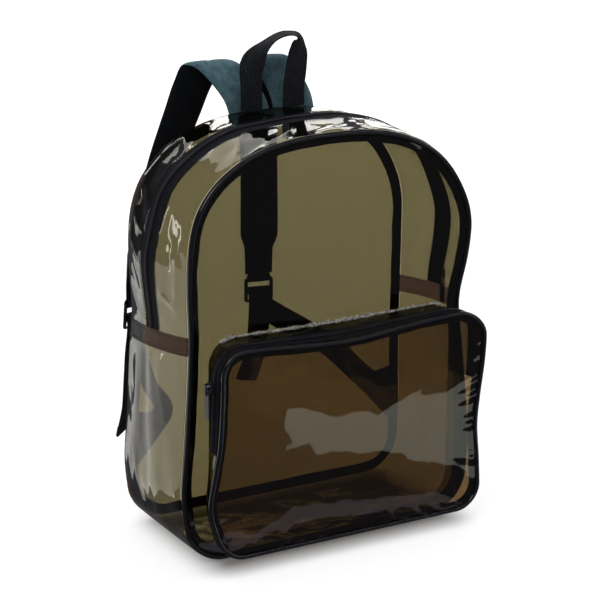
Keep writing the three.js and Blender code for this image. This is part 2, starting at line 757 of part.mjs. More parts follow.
add('pocket_gusset_rear', strip(pocketWall, pocketOutline, {
  from: pocketOutline.rightAt(pocketZipRight - pocketEndLength),
  to: pocketZip.to,
  front: pocketTapeBack + gap,
  back: pocketReach,
}), smokedVinyl);
add('pocket_zip_end', strip(pocketWall, pocketOutline, {
  from: pocketOutline.rightAt(pocketZipRight - pocketEndLength),
  to: pocketOutline.rightAt(pocketZipRight),
  front: pocketEdge,
  back: pocketTapeBack,
  out: pocketEndThickness / 2,
  thick: pocketEndThickness,
}), blackTape);
add('pocket_gusset_lower', strip(pocketWall, pocketOutline, {
  from: pocketOutline.leftAt(pocketZipLeft) - 1,
  to: pocketOutline.rightAt(pocketZipRight - pocketEndLength - gap),
  front: pocketEdge,
  back: pocketReach,
  rows: 2,
}), smokedVinyl);

// A zip slider lies flat on its coil. In its own frame Z runs up the zip, X points away from the
// bag and the origin is in the middle of its underside.
function plate(outline, thickness, holes = []) {
  const shape = new THREE.Shape(outline);
  shape.holes.push(...holes.map((hole) => new THREE.Path(hole)));
  const geometry = new THREE.ExtrudeGeometry(shape, { depth: thickness, bevelEnabled: false });
  return geometry.translate(0, 0, -thickness / 2);
}

const rectangle = (x0, y0, x1, y1) => [
  new THREE.Vector2(x0, y0),
  new THREE.Vector2(x1, y0),
  new THREE.Vector2(x1, y1),
  new THREE.Vector2(x0, y1),
];

// The same with its corners cut off.
const clipped = (x0, y0, x1, y1, cut) => [
  new THREE.Vector2(x0 + cut, y0),
  new THREE.Vector2(x1 - cut, y0),
  new THREE.Vector2(x1, y0 + cut),
  new THREE.Vector2(x1, y1 - cut),
  new THREE.Vector2(x1 - cut, y1),
  new THREE.Vector2(x0 + cut, y1),
  new THREE.Vector2(x0, y1 - cut),
  new THREE.Vector2(x0, y0 + cut),
];

function sliderGeometry() {
  const cut = sliderWidth / 5;
  const wide = clipped(-sliderLength / 2, -sliderWidth / 2, sliderLength / 2, sliderWidth / 2, cut);
  const base = plate(wide, sliderThickness).translate(0, 0, sliderThickness / 2);
  const top = sliderThickness + bridgeHeadroom + bridgeStock;
  const sunk = sliderThickness / 2;
  const bridge = plate(
    clipped(-bridgeLength / 2, sunk, bridgeLength / 2, top, bridgeStock / 2),
    bridgeWidth,
    [rectangle(
      -bridgeLength / 2 + bridgeStock,
      sliderThickness,
      bridgeLength / 2 - bridgeStock,
      top - bridgeStock,
    )],
  ).rotateX(Math.PI / 2);
  return join(base, bridge).rotateY(Math.PI / 2);
}

// A puller in the slider's frame, with the origin at the middle of the bar under the bridge.
function pullerGeometry() {
  const half = pullerWidth / 2;
  const slot = bridgeWidth / 2 + 2 * gap;
  const outline = clipped(-half, -pullerLength, half, pullerBar / 2, half / 2.5);
  const window = rectangle(-slot, -pullerBar / 2 - pullerWindow, slot, -pullerBar / 2);
  return plate(outline, pullerThickness, [window]).rotateX(Math.PI / 2).rotateZ(Math.PI / 2);
}

// Seats a slider on its coil at a height on the left or right wall, with its puller hanging down.
function addSlider(name, wall, outline, sign, behind, height) {
  const at = sign > 0 ? outline.rightAt : outline.leftAt;
  const parts = [-0.5, 0, 0.5];
  const reach = parts.flatMap((up) => parts.map((back) => {
    const share = at(height + up * sliderLength);
    return Math.abs(wall(share, behind + back * coilWidth, coilHeight + sliderLift).x);
  }));
  const middle = wall(at(height), behind, 0);
  const place = new THREE.Vector3(sign * Math.max(...reach), middle.y, height);
  const pivot = place.clone();
  pivot.x += sign * (sliderThickness + bridgeHeadroom / 2);
  [
    { piece: `${name}_slider`, geometry: sliderGeometry(), position: place },
    { piece: `${name}_puller`, geometry: pullerGeometry(), position: pivot },
  ].forEach(({ piece, geometry, position }) => {
    const mesh = add(piece, geometry, blackMetal);
    mesh.position.copy(position);
    mesh.rotation.z = sign > 0 ? 0 : Math.PI;
  });
}

const mainSliderHeight = bandTop(zipMiddle) + sliderAboveBand + sliderLength / 2;
addSlider('main', bagWall, bagOutline, 1, zipMiddle, mainSliderHeight);
addSlider('pocket', pocketWall, pocketOutline, -1, pocketCoilMiddle, pocketSliderHeight);

// Grab handle
function archTop(x) {
  const across = Math.abs(x) / bagHalf;
  const rise = (1 - across ** archSquareness) ** (1 / archSquareness) * (bagHeight - archStart);
  return archStart + rise;
}

const handleBack = 1 - handleInset / bagDepth;
const topBulge = gussetBulge * bagShape.at(-1).bulge * 4 * handleBack * (1 - handleBack);
const handleRows = handleRoute.map(({ across, rise, lean, turn }) => {
  const x = handleCentre + across * (handleSpacing / 2);
  const innerEdge = Math.abs(x) - webbingWidth / 2;
  const foot = archTop(Math.max(innerEdge, 0)) + topBulge + gap;
  return {
    at: new THREE.Vector3(x, bagDepth / 2 - handleInset + lean * handleLean, foot + rise * handleRise),
    across: level(turn),
    width: webbingWidth,
    thick: webbingThickness,
  };
});
add('handle', ribbon(handleRows, webbingSection, handlePitch), blackWebbing);

// Shoulder straps: pad, loop of webbing at its end, buckle, lower webbing and its anchor
const padSeat = bagDepth / 2 + weltRadius + gap + (padThickness * padRootShare) / 2;
const wrap = Math.hypot(buckleBar, buckleThickness) / 2 + gap + webbingThickness / 2;
const tailPly = buckleThickness / 2 + gap + webbingThickness / 2;
const loadPly = tailPly + webbingThickness + gap;
const anchorSeam = bagHalf - pipingInset;

// Rows of webbing bent round a bar, as angles about it, in a buckle's frame.
const wrapRows = (place, bar, angles) => angles.map((angle) =>
  place(bar - wrap * Math.cos(degToRad(angle)), wrap * Math.sin(degToRad(angle))));

function buckleGeometry() {
  const slotHalf = webbingWidth / 2 + 2 * gap;
  const half = slotHalf + buckleSide;
  const end = bucklePitch + buckleBar / 2;
  const slots = [-1, 0].map((bar) => rectangle(
    -slotHalf,
    bar * bucklePitch + buckleBar / 2,
    slotHalf,
    (bar + 1) * bucklePitch - buckleBar / 2,
  ));
  return plate(clipped(-half, -end, half, end, buckleSide / 2), buckleThickness, slots);
}

sides.forEach(({ name, sign }) => {
  const padRows = padRoutes[name].map(({ across, behind, up, rise, turn, square, width, thick }) => ({
    at: new THREE.Vector3(
      across * bagHalf,
      padSeat + behind * strapReach,
      up * bagHeight + rise * strapRise,
    ),
    across: level(turn),
    square,
    width: width * padWidth,
    thick: thick * padThickness,
  }));
  add(`strap_pad_${name}`, ribbon(padRows, padSection, padPitch), greyCloth);

  // The buckle's frame: across its bars, down towards the tail, and out away from the bag.
  const [beforeEnd, end] = padRows.slice(-2);
  const down = end.at.clone().sub(beforeEnd.at).normalize();
  const across = end.across.clone().addScaledVector(down, -end.across.dot(down)).normalize();
  const out = across.clone().cross(down);
  const centre = end.at.clone().addScaledVector(down, buckleTabLength + bucklePitch);
  const place = (below, proud) =>
    centre.clone().addScaledVector(down, below).addScaledVector(out, proud);
  const webbing = (at, direction = across, thick = 1) =>
    ({ at, across: direction, width: webbingWidth, thick: thick * webbingThickness });

  const tabStart = -bucklePitch - buckleTabLength + 2 * gap;
  const tabPly = (webbingThickness + gap) / 2;
  const tabRows = [
    place(tabStart, -tabPly),
    place(-bucklePitch - wrap, -tailPly),
    ...wrapRows(place, -bucklePitch, [-90, -135, 180, 135, 90]),
    place(-bucklePitch - wrap, tailPly),
    place(tabStart, tabPly),
  ].map((at) => webbing(at));
  add(`buckle_tab_${name}`, ribbon(tabRows, webbingSection, webbingPitch), blackWebbing);

  const buckle = add(`buckle_${name}`, buckleGeometry(), blackPlastic);
  buckle.position.copy(centre);
  buckle.quaternion.setFromRotationMatrix(new THREE.Matrix4().makeBasis(across, down, out));

  // The anchor is a cloth tab in the back seam with its inner end cut square to the webbing.
  const seam = sign * anchorSeam;
  const angle = degToRad(anchorAngle);
  const run = new THREE.Vector2(-sign * Math.cos(angle), Math.sin(angle));
  const exit = new THREE.Vector2(seam - sign * anchorReach, anchorFoot + anchorRise);
  const cut = new THREE.Vector2(sign * run.y, -sign * run.x).multiplyScalar(webbingWidth / 2);
  const corners = [
    new THREE.Vector2(seam, anchorFoot + anchorHeight),
    exit.clone().add(cut),
    exit.clone().sub(cut),
    new THREE.Vector2(seam, anchorFoot),
  ];
  const anchorFace = Math.max(...corners.map((corner) => backFace(corner.x, corner.y))) + gap;
  const ring = (y) => corners.map((corner) => new THREE.Vector3(corner.x, y, corner.y));
  add(`strap_anchor_${name}`, loft([ring(anchorFace), ring(anchorFace + anchorThickness)]), blackTape);

  const start = new THREE.Vector3(exit.x, anchorFace + anchorThickness / 2, exit.y);
  const climb = new THREE.Vector3(run.x, 0, run.y);
  const cutAcross = new THREE.Vector3(cut.x, 0, cut.y).normalize().multiplyScalar(sign);
  const entry = place(bucklePitch + wrap, -loadPly);
  const liftOff = start.clone().addScaledVector(climb, webbingWidth / 2);
  liftOff.y += backDome;
  const anchorRows = [
    webbing(start.clone().addScaledVector(climb, 2 * gap), cutAcross),
    webbing(liftOff, cutAcross),
    ...loadRoutes[name].map(({ part, lift }) => webbing(
      start.clone().lerp(entry, part).add(new THREE.Vector3(0, 0, lift * start.distanceTo(entry))),
      cutAcross.clone().lerp(across, part),
    )),
  ];
  const tail = tails[name];
  const leadPoints = tailLead.map(({ below, behind }) => place(below * bucklePitch, -behind * tailPly));
  const tailStart = leadPoints.at(-1);
  const tailPoints = tail.rows.map((row) => tailStart.clone().add(new THREE.Vector3(
    row.across * tail.length,
    row.behind * tail.length,
    -row.down * tail.length,
  )));
  const hemRun = tailPoints.at(-1).clone().sub(tailPoints.at(-2)).normalize();
  const hemEnd = tailPoints.at(-1).clone().addScaledVector(hemRun, hemLength);
  const strapRows = [
    ...anchorRows,
    webbing(entry),
    webbing(place(bucklePitch / 2, -loadPly)),
    ...wrapRows(place, 0, [-50, 0, 45, 90, 135, 180]).map((at) => webbing(at)),
    ...[...leadPoints, ...tailPoints].map((at) => webbing(at)),
    webbing(tailPoints.at(-1).clone().addScaledVector(hemRun, gap), across, 2),
    webbing(hemEnd, across, 2),
  ];
  add(`strap_webbing_${name}`, ribbon(strapRows, webbingSection, webbingPitch), blackWebbing);
});

export default bag;
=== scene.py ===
# Looks of a smoked clear backpack with black piping, zips and straps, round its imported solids. The
# sizes are in millimetres, as in the solids' source, and the meshes are in metres. +Z is up, the
# front faces -Y, and left and right are those of someone looking at the front.

import math

import bpy
import numpy as np
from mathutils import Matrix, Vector


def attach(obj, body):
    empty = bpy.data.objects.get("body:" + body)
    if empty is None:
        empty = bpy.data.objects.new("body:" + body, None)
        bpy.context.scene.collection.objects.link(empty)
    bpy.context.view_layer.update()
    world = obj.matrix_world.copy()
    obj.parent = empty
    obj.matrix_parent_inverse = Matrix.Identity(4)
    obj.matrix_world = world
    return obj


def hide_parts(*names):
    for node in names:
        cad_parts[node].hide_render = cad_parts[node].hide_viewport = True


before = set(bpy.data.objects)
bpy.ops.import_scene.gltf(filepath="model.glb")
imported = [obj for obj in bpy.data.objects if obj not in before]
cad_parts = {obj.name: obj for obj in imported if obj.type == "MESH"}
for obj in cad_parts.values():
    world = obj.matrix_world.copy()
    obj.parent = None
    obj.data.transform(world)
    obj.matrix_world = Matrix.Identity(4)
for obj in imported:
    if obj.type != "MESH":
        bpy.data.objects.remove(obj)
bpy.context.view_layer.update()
bpy.context.scene.cycles.transparent_max_bounces = 40
MM = 0.001

# Shell
BAG_WIDTH = 329
BAG_HEIGHT = 432
BAG_DEPTH = 136
ARCH_START = 297
ARCH_SQUARENESS = 2.5
CORNER_RADIUS = 40
VINYL = 1
GAP = 0.3
FRONT_DOME = 8
BACK_DOME = 4
GUSSET_BULGE = 10
GUSSET_RIPPLE = 1.6
PIPING_DIAMETER = 5.5
WELT_DIAMETER = 3
BINDING_WIDTH = 11
BINDING_THICKNESS = 1.2
BAND_TOP_FRONT = 242
BAND_TOP_BACK = 228
BAND_HEIGHT = 19
BAND_THICKNESS = 2.4
BAND_PROUD = 0.7

# Zips
TAPE_THICKNESS = 1
MAIN_TAPE_WIDTH = 30
POCKET_TAPE_WIDTH = 21
COIL_WIDTH = 6
COIL_HEIGHT = 2

# Pocket
POCKET_WIDTH = 311
POCKET_HEIGHT = 221
POCKET_DEPTH = 48
POCKET_FOOT = 18
POCKET_CORNER = 30
POCKET_TAPER = 13
POCKET_DOME = 8
POCKET_BULGE = 3
POCKET_SAG = 7
POCKET_PIPING = 5
POCKET_BINDING_WIDTH = 9
POCKET_ZIP_LEFT = 133
POCKET_ZIP_RIGHT = 178
POCKET_END_LENGTH = 18
POCKET_END_THICKNESS = 2

# Carrying gear
WEBBING_WIDTH = 25
WEBBING_THICKNESS = 1.5
HANDLE_SPACING = 50
HANDLE_CENTRE = 5
HANDLE_RISE = 80
HANDLE_INSET = 5
HANDLE_LEAN = 7
PAD_WIDTH = 44
PAD_THICKNESS = 9
PAD_ROOT_SHARE = 0.45
STRAP_RISE = 50
STRAP_REACH = 45
BUCKLE_BAR = 2.4
BUCKLE_PITCH = 12
BUCKLE_THICKNESS = 2.6
BUCKLE_TAB_LENGTH = 6
ANCHOR_HEIGHT = 67
ANCHOR_FOOT = 55
ANCHOR_REACH = 31
ANCHOR_RISE = 54
ANCHOR_THICKNESS = 2.4
ANCHOR_ANGLE = 45
HEM_LENGTH = 13


def columns(names, rows):
    """A table with named columns."""
    return dict(zip(names.split(), np.array(rows, float).T))


# Sway of the shell at heights up the bag, in shares of its half width, and of its side bulge.
BAG_SHAPE = columns("up front_left front_right back_left back_right bulge", [
    (0.0, 0, 0, 0, 0, 0),
    (0.1, 0.036, 0.03, 0.036, 0.02, 0.15),
    (0.18, 0.052, 0.04, 0.05, 0.025, 0.6),
    (0.3, 0.024, 0.018, 0.022, 0.018, 1),
    (0.43, 0, -0.02, 0, 0.02, 0.9),
    (0.55, -0.014, -0.05, -0.026, 0.026, 0.8),
    (0.66, -0.01, 0.012, -0.014, 0.03, 1),
    (0.75, -0.012, 0.036, -0.01, 0.03, 0.95),
    (0.86, 0, 0.012, 0, 0.01, 0.6),
    (1.0, 0, 0, 0, 0, 0.25),
])
POCKET_SHAPE = columns("up left right bulge", [
    (0.0, 0, 0, 0),
    (0.1, 0.02, 0, 0.6),
    (0.27, 0.078, -0.014, 1),
    (0.43, 0.04, -0.032, 1),
    (0.56, 0.004, -0.018, 1),
    (0.76, -0.018, 0.018, 1),
    (0.9, -0.02, 0.024, 0.6),
    (1.0, 0, 0, -0.8),
])
POCKET_TOP = columns("across sag", [
    (-1, 0.1), (-0.72, 0.1), (-0.3, 0.8), (0, 1), (0.4, 0.25), (0.7, -0.15), (1, 0),
])

# Routes of the shoulder pads and of the webbing, in shares of the sizes that they follow. The rows
# of a pad are its place across, behind and up, its rise over the shoulder, its turn in degrees, its
# squareness, width and thickness. Squareness is 0 where the section is level and 1 where it is
# square to the pad's run.
PAD_ROUTES = {
    "left": [
        (-0.1, 0, 0.98, 0, 0, 0, 1.08, PAD_ROOT_SHARE),
        (-0.13, 0.07, 1, 0.2, 0, 0, 1.08, 0.7),
        (-0.2, 0.27, 1, 0.62, -4, 0, 1.1, 1),
        (-0.275, 0.52, 1, 0.9, -10, 0, 1.12, 1),
        (-0.33, 0.75, 1, 0.86, -8, 0.3, 1.04, 1),
        (-0.385, 0.88, 1, 0.5, 0, 0.7, 1, 1),
        (-0.455, 0.94, 0.99, 0, 6, 1, 1, 1),
        (-0.585, 0.96, 0.868, 0, 12, 1, 1, 1),
        (-0.7, 0.89, 0.752, 0, 22, 1, 1, 1),
        (-0.81, 0.8, 0.645, 0, 34, 1, 0.98, 0.9),
        (-0.85, 0.76, 0.6, 0, 38, 1, 0.64, 0.6),
        (-0.868, 0.71, 0.547, 0, 40, 1, 0.6, 0.5),
    ],
    "right": [
        (0.218, 0, 0.98, 0, 0, 0, 1.1, PAD_ROOT_SHARE),
        (0.2, 0.07, 1, 0.2, -2, 0, 1.08, 0.7),
        (0.155, 0.27, 1, 0.62, -8, 0, 1.02, 1),
        (0.11, 0.52, 1, 0.92, -12, 0, 1.04, 1),
        (0.09, 0.75, 1, 0.86, -10, 0.3, 1.03, 1),
        (0.08, 0.86, 1, 0.5, -6, 0.7, 1, 1),
        (0.075, 0.88, 0.99, 0, -4, 1, 1, 1),
        (0.07, 0.76, 0.857, 0, 0, 1, 1, 1),
        (0.05, 0.62, 0.74, 0, -2, 1, 1, 1),
        (0.036, 0.54, 0.665, 0, -3, 1, 1, 0.9),
        (0.028, 0.51, 0.635, 0, -3, 1, 0.76, 0.6),
        (0.022, 0.48, 0.57, 0, -4, 1, 0.72, 0.5),
    ],
}
# The length of each free tail, and places along it: across, behind and down.
TAILS = {
    "left": (112, [(-0.01, 0.03, 0.2), (-0.01, 0.08, 0.5), (0, 0.15, 0.78), (0, 0.23, 0.97)]),
    "right": (76, [(0, 0.02, 0.22), (-0.01, 0.05, 0.5), (-0.04, 0.09, 0.76), (-0.09, 0.15, 0.99)]),
}
# The first places of a tail: below the middle of its buckle, and from there towards the bag.
TAIL_LEAD = [(0.62, 0.95), (0.9, 1), (1.5, 1)]
# Parts of the way from an anchor to its buckle, and the lift of the webbing there.
LOAD_ROUTES = {
    "left": [(0.35, 0.04), (0.65, 0.02), (0.86, 0)],
    "right": [(0.35, 0.05), (0.65, 0.025), (0.86, 0)],
}
# Places along the handle: across, its rise, its lean to the back and its turn in degrees.
HANDLE_ROUTE = [
    (-1, 0, 0, 0),
    (-1, 0.32, 0, 0),
    (-0.97, 0.54, 0.2, -10),
    (-0.62, 0.73, 0.6, -62),
    (-0.03, 0.86, 0.9, -104),
    (0.55, 0.93, 1, -106),
    (1, 0.94, 1, -104),
    (1.38, 0.89, 0.9, -126),
    (1.34, 0.75, 0.6, -166),
    (1.16, 0.5, 0.2, -180),
    (1, 0.2, 0, -180),
    (1, 0, 0, -180),
]


# Curves and walls of the shell
def lerp(a, b, t):
    return a + (b - a) * t


def smooth(low, high, value):
    """Rises from 0 to 1 between two values."""
    t = np.clip((value - low) / (high - low), 0, 1)
    return t * t * (3 - 2 * t)


def read(table, key, column, place):
    """One column of a table at places along its key, on a smooth curve through the rows."""
    keys, values = table[key], table[column]
    last = len(keys) - 1
    rows = np.arange(last + 1)
    before, after = np.maximum(rows - 1, 0), np.minimum(rows + 1, last)
    slope = (values[after] - values[before]) / (keys[after] - keys[before])
    row = np.searchsorted(keys[1:last], place, side="left")
    span = keys[row + 1] - keys[row]
    t = np.clip((place - keys[row]) / span, 0, 1)
    ease = t * t * (3 - 2 * t)
    leave = t * (1 - t) ** 2 * span * slope[row]
    arrive = t * t * (t - 1) * span * slope[row + 1]
    return lerp(values[row], values[row + 1], ease) + leave + arrive


def noise(seed, x, y):
    """Smooth noise from -1 to 1 over a plane, with lumps about one unit across."""
    lattice = np.random.default_rng(seed).uniform(-1, 1, (64, 64))
    x, y = np.broadcast_arrays(x, y)
    column, row = np.floor(x).astype(int), np.floor(y).astype(int)
    s, t = (v**3 * (v * (6 * v - 15) + 10) for v in (x - column, y - row))
    corners = [lattice[(column + i) % 64, (row + j) % 64] for j in (0, 1) for i in (0, 1)]
    return lerp(lerp(corners[0], corners[1], s), lerp(corners[2], corners[3], s), t)


def folds(seed, x, y):
    """Noise with sharp ridges, as in creased vinyl."""
    return 1 - 2 * np.abs(noise(seed, x, y)) ** 0.7 + 0.3 * noise(seed + 1, 2.3 * x, 2.3 * y)


def outline(*spans):
    """A closed outline in the X-Z plane: from the middle of its base, up the right side and on."""
    points = np.concatenate(spans)
    along = np.concatenate([[0], np.cumsum(np.hypot(*np.diff(points, axis=0).T))])
    return {"total": along[-1], "share": along / along[-1], "points": points}


def straight(x0, z0, x1, z1):
    return np.linspace((x0, z0), (x1, z1), 40)


def quarter(x, z, radius, turns):
    angle = np.radians(np.linspace(90 * (turns - 1), 90 * turns, 200))
    return np.stack([x + radius * np.cos(angle), z + radius * np.sin(angle)], -1)


def arch():
    angle = np.linspace(0, math.pi, 4000)
    x, z = (np.sign(v) * np.abs(v) ** (2 / ARCH_SQUARENESS) for v in (np.cos(angle), np.sin(angle)))
    return np.stack([x * BAG_WIDTH / 2, ARCH_START + np.abs(z) * (BAG_HEIGHT - ARCH_START)], -1)


BAG_HALF = BAG_WIDTH / 2
BAG_INNER = BAG_HALF - CORNER_RADIUS
BAG_OUTLINE = outline(
    straight(0, 0, BAG_INNER, 0),
    quarter(BAG_INNER, CORNER_RADIUS, CORNER_RADIUS, 0),
    straight(BAG_HALF, CORNER_RADIUS, BAG_HALF, ARCH_START),
    arch(),
    straight(-BAG_HALF, ARCH_START, -BAG_HALF, CORNER_RADIUS),
    quarter(-BAG_INNER, CORNER_RADIUS, CORNER_RADIUS, 3),
    straight(-BAG_INNER, 0, 0, 0),
)
POCKET_HALF = POCKET_WIDTH / 2
POCKET_INNER = POCKET_HALF - POCKET_CORNER
POCKET_CROWN = POCKET_FOOT + POCKET_HEIGHT
POCKET_LOW = POCKET_FOOT + POCKET_CORNER
POCKET_HIGH = POCKET_CROWN - POCKET_CORNER
POCKET_OUTLINE = outline(
    straight(0, POCKET_FOOT, POCKET_INNER, POCKET_FOOT),
    quarter(POCKET_INNER, POCKET_LOW, POCKET_CORNER, 0),
    straight(POCKET_HALF, POCKET_LOW, POCKET_HALF, POCKET_HIGH),
    quarter(POCKET_INNER, POCKET_HIGH, POCKET_CORNER, 1),
    straight(POCKET_INNER, POCKET_CROWN, -POCKET_INNER, POCKET_CROWN),
    quarter(-POCKET_INNER, POCKET_HIGH, POCKET_CORNER, 2),
    straight(-POCKET_HALF, POCKET_HIGH, -POCKET_HALF, POCKET_LOW),
    quarter(-POCKET_INNER, POCKET_LOW, POCKET_CORNER, 3),
    straight(-POCKET_INNER, POCKET_FOOT, 0, POCKET_FOOT),
)
BAG_SIDE = (BAG_INNER + CORNER_RADIUS * math.pi / 2, CORNER_RADIUS, BAG_OUTLINE["total"])
POCKET_SIDE = (POCKET_INNER + POCKET_CORNER * math.pi / 2, POCKET_LOW, POCKET_OUTLINE["total"])


def right_at(side, height):
    """The share of an outline at a height on its right side."""
    start, foot, total = side
    return (start + height - foot) / total


def left_at(side, height):
    return 1 - right_at(side, height)


def place(ring, share):
    share = np.mod(share, 1)
    return [np.interp(share, ring["share"], ring["points"][:, axis]) for axis in (0, 1)]


def dome_share(x, z):
    """How much of a panel's dome shows at a place, from 0 at its edge to 1 in the middle."""
    across = np.abs(x) / BAG_HALF
    over = np.maximum(z - ARCH_START, 0) / (BAG_HEIGHT - ARCH_START)
    under = np.maximum(ARCH_START - z, 0) / ARCH_START
    below_arch = np.maximum(0, 1 - across**ARCH_SQUARENESS - over**ARCH_SQUARENESS)
    return below_arch * (1 - under**8)


def front_face(x, z):
    return -BAG_DEPTH / 2 - VINYL / 2 - FRONT_DOME * dome_share(x, z)


def back_face(x, z):
    return BAG_DEPTH / 2 + VINYL / 2 + BACK_DOME * dome_share(x, z)


def sway(shape, end, x, up):
    """Shift of a shell's sides at a height, as a share, with its own values left and right."""
    left, right = (read(shape, "up", end + side, up) for side in ("left", "right"))
    return np.where(x > 0, right, left)


def bag_ring(share, back):
    x, z = place(BAG_OUTLINE, share)
    front, rear = (sway(BAG_SHAPE, end, x, z / BAG_HEIGHT) for end in ("front_", "back_"))
    return x * (1 + lerp(front, rear, np.clip(back, 0, 1))), z


def pocket_ring(share, back):
    x, z = place(POCKET_OUTLINE, share)
    up = (z - POCKET_FOOT) / POCKET_HEIGHT
    sag = POCKET_SAG * read(POCKET_TOP, "across", "sag", x / POCKET_HALF) * up**4
    front = np.clip(1 - back, 0, 1)
    taper = POCKET_TAPER / POCKET_HALF * (1 - front)
    return x * (1 + sway(POCKET_SHAPE, "", x, up) * front - taper), z - sag * front


def square_out(ring, share, back):
    """Direction square to an outline, away from its middle."""
    aside = 0.004
    (x0, z0), (x1, z1) = ring(share - aside, back), ring(share + aside, back)
    length = np.hypot(x1 - x0, z1 - z0)
    return (z1 - z0) / length, (x0 - x1) / length


def bowed(back):
    """Rises from 0 at the seams to 1 halfway between them."""
    return np.maximum(0, 4 * back * (1 - back))


def ripple(z, share, back):
    """Slow waves of the side walls, still at the seams, the base and the side bands."""
    rise = smooth(20, 70, z) * (1 - smooth(165, 205, z)) + smooth(262, 320, z)
    waves = noise(3, np.mod(share, 1) * 34, back * 1.5)
    return GUSSET_RIPPLE * rise * bowed(back) ** 0.8 * waves


def bag_wall(share, behind, out=0.0):
    """A place on the bag's side wall, a distance behind its front seam and out from the wall."""
    share, behind, out = np.broadcast_arrays(share, behind, out)
    back = behind / BAG_DEPTH
    x, z = bag_ring(share, back)
    bulge = GUSSET_BULGE * read(BAG_SHAPE, "up", "bulge", z / BAG_HEIGHT)
    lift = out + bulge * bowed(back) + ripple(z, share, back)
    across, up = square_out(bag_ring, share, back)
    return np.stack([x + across * lift, behind - BAG_DEPTH / 2, z + up * lift], -1)


POCKET_FRONT = -BAG_DEPTH / 2 - POCKET_DEPTH


def pocket_reach(share):
    return front_face(*pocket_ring(share, 1)) - GAP - POCKET_FRONT


def pocket_wall(share, behind, out=0.0):
    share, behind, out = np.broadcast_arrays(share, behind, out)
    back = behind / pocket_reach(share)
    x, z = pocket_ring(share, back)
    bulge = POCKET_BULGE * read(POCKET_SHAPE, "up", "bulge", (z - POCKET_FOOT) / POCKET_HEIGHT)
    lift = out + bulge * bowed(back)
    across, up = square_out(pocket_ring, share, back)
    return np.stack([x + across * lift, POCKET_FRONT + behind, z + up * lift], -1)


# Meshes
def unit(vectors):
    return vectors / np.linalg.norm(vectors, axis=-1, keepdims=True)


def along_path(path):
    """Distance along a path of points."""
    return np.concatenate([[0], np.cumsum(np.linalg.norm(np.diff(path, axis=0), axis=1))])


def add_mesh(name, points, faces, uvs=None, sharp=38, sorts=None):
    """An object through points in millimetres. Uvs belong to the points, sorts to the faces."""
    points = np.asarray(points, float).reshape(-1, 3)
    corner = points[np.concatenate(faces)]
    following = points[np.concatenate([face[1:] + face[:1] for face in faces])]
    first = np.repeat(points[[face[0] for face in faces]], [len(face) for face in faces], axis=0)
    if np.einsum("ij,ij->i", first, np.cross(corner, following)).sum() < 0:
        faces = [face[::-1] for face in faces]
    mesh = bpy.data.meshes.new(name)
    mesh.from_pydata((points * MM).tolist(), [], faces, shade_flat=False)
    mesh.set_sharp_from_angle(angle=math.radians(sharp))
    if uvs is not None:
        corners = np.empty(len(mesh.loops), int)
        mesh.loops.foreach_get("vertex_index", corners)
        layer = mesh.uv_layers.new(name="weave")
        placed = np.reshape(uvs, (-1, 2))[corners] * MM
        layer.data.foreach_set("uv", placed.astype(np.float32).ravel())
    if sorts is not None:
        mesh.polygons.foreach_set("material_index", sorts)
    made = bpy.data.objects.new(name, mesh)
    bpy.context.scene.collection.objects.link(made)
    return made


def grid_faces(column_count, row_count, ringed=False, turned=False, first=0):
    column = np.arange(column_count - (0 if ringed else 1))[:, None]
    row = np.arange(row_count - 1)[None]
    here = first + column * row_count + row
    after = first + (column + 1) % column_count * row_count + row
    corners = [here, here + 1, after + 1, after] if turned else [here, after, after + 1, here + 1]
    return np.stack(corners, -1).reshape(-1, 4).tolist()


def flat_uvs(points):
    """Distances over a grid of points, along its columns and its rows."""
    middle = points.shape[1] // 2
    u = along_path(points[:, middle])[:, None]
    v = np.concatenate([np.zeros((len(points), 1)), np.cumsum(
        np.linalg.norm(np.diff(points, axis=1), axis=2), axis=1)], 1)
    return np.stack(np.broadcast_arrays(u, v), -1)


def slab(name, outer, inner, ringed=False):
    """A closed sheet between two grids of points."""
    column_count, row_count = outer.shape[:2]
    half = column_count * row_count
    faces = grid_faces(column_count, row_count, ringed)
    faces += grid_faces(column_count, row_count, ringed, turned=True, first=half)
    at = np.arange(half).reshape(column_count, row_count)
    edges = [(at[:, 0][::-1], ringed), (at[:, -1], ringed)]
    if not ringed:
        edges += [(at[0], False), (at[-1][::-1], False)]
    for edge, closed in edges:
        ends = zip(edge, np.roll(edge, -1)) if closed else zip(edge[:-1], edge[1:])
        faces += [[int(b), int(b + half), int(a + half), int(a)] for a, b in ends]
    uvs = flat_uvs(outer)
    return add_mesh(name, np.stack([outer, inner]), faces, np.stack([uvs, uvs]))


def tube(name, rings, ringed=False, sorts=None, sharp=38):
    """A closed body through rings of points, capped at its ends. Sorts are those round a ring."""
    ring_count, count = rings.shape[:2]
    here = np.arange(ring_count if ringed else ring_count - 1)[:, None] * count
    over = (here + count) % (ring_count * count)
    point = np.arange(count)
    after = (point + 1) % count
    faces = np.stack([here + point, over + point, over + after, here + after], -1)
    faces = faces.reshape(-1, 4).tolist()
    if not ringed:
        cap = list(range(count))
        faces += [cap, [(ring_count - 1) * count + corner for corner in reversed(cap)]]
    if sorts:
        sorts = sorts * (ring_count - 1) + [sorts[0]] * 2
    around = np.concatenate([rings, rings[:, :1]], 1)
    return add_mesh(name, rings, faces, flat_uvs(around)[:, :count], sharp, sorts)


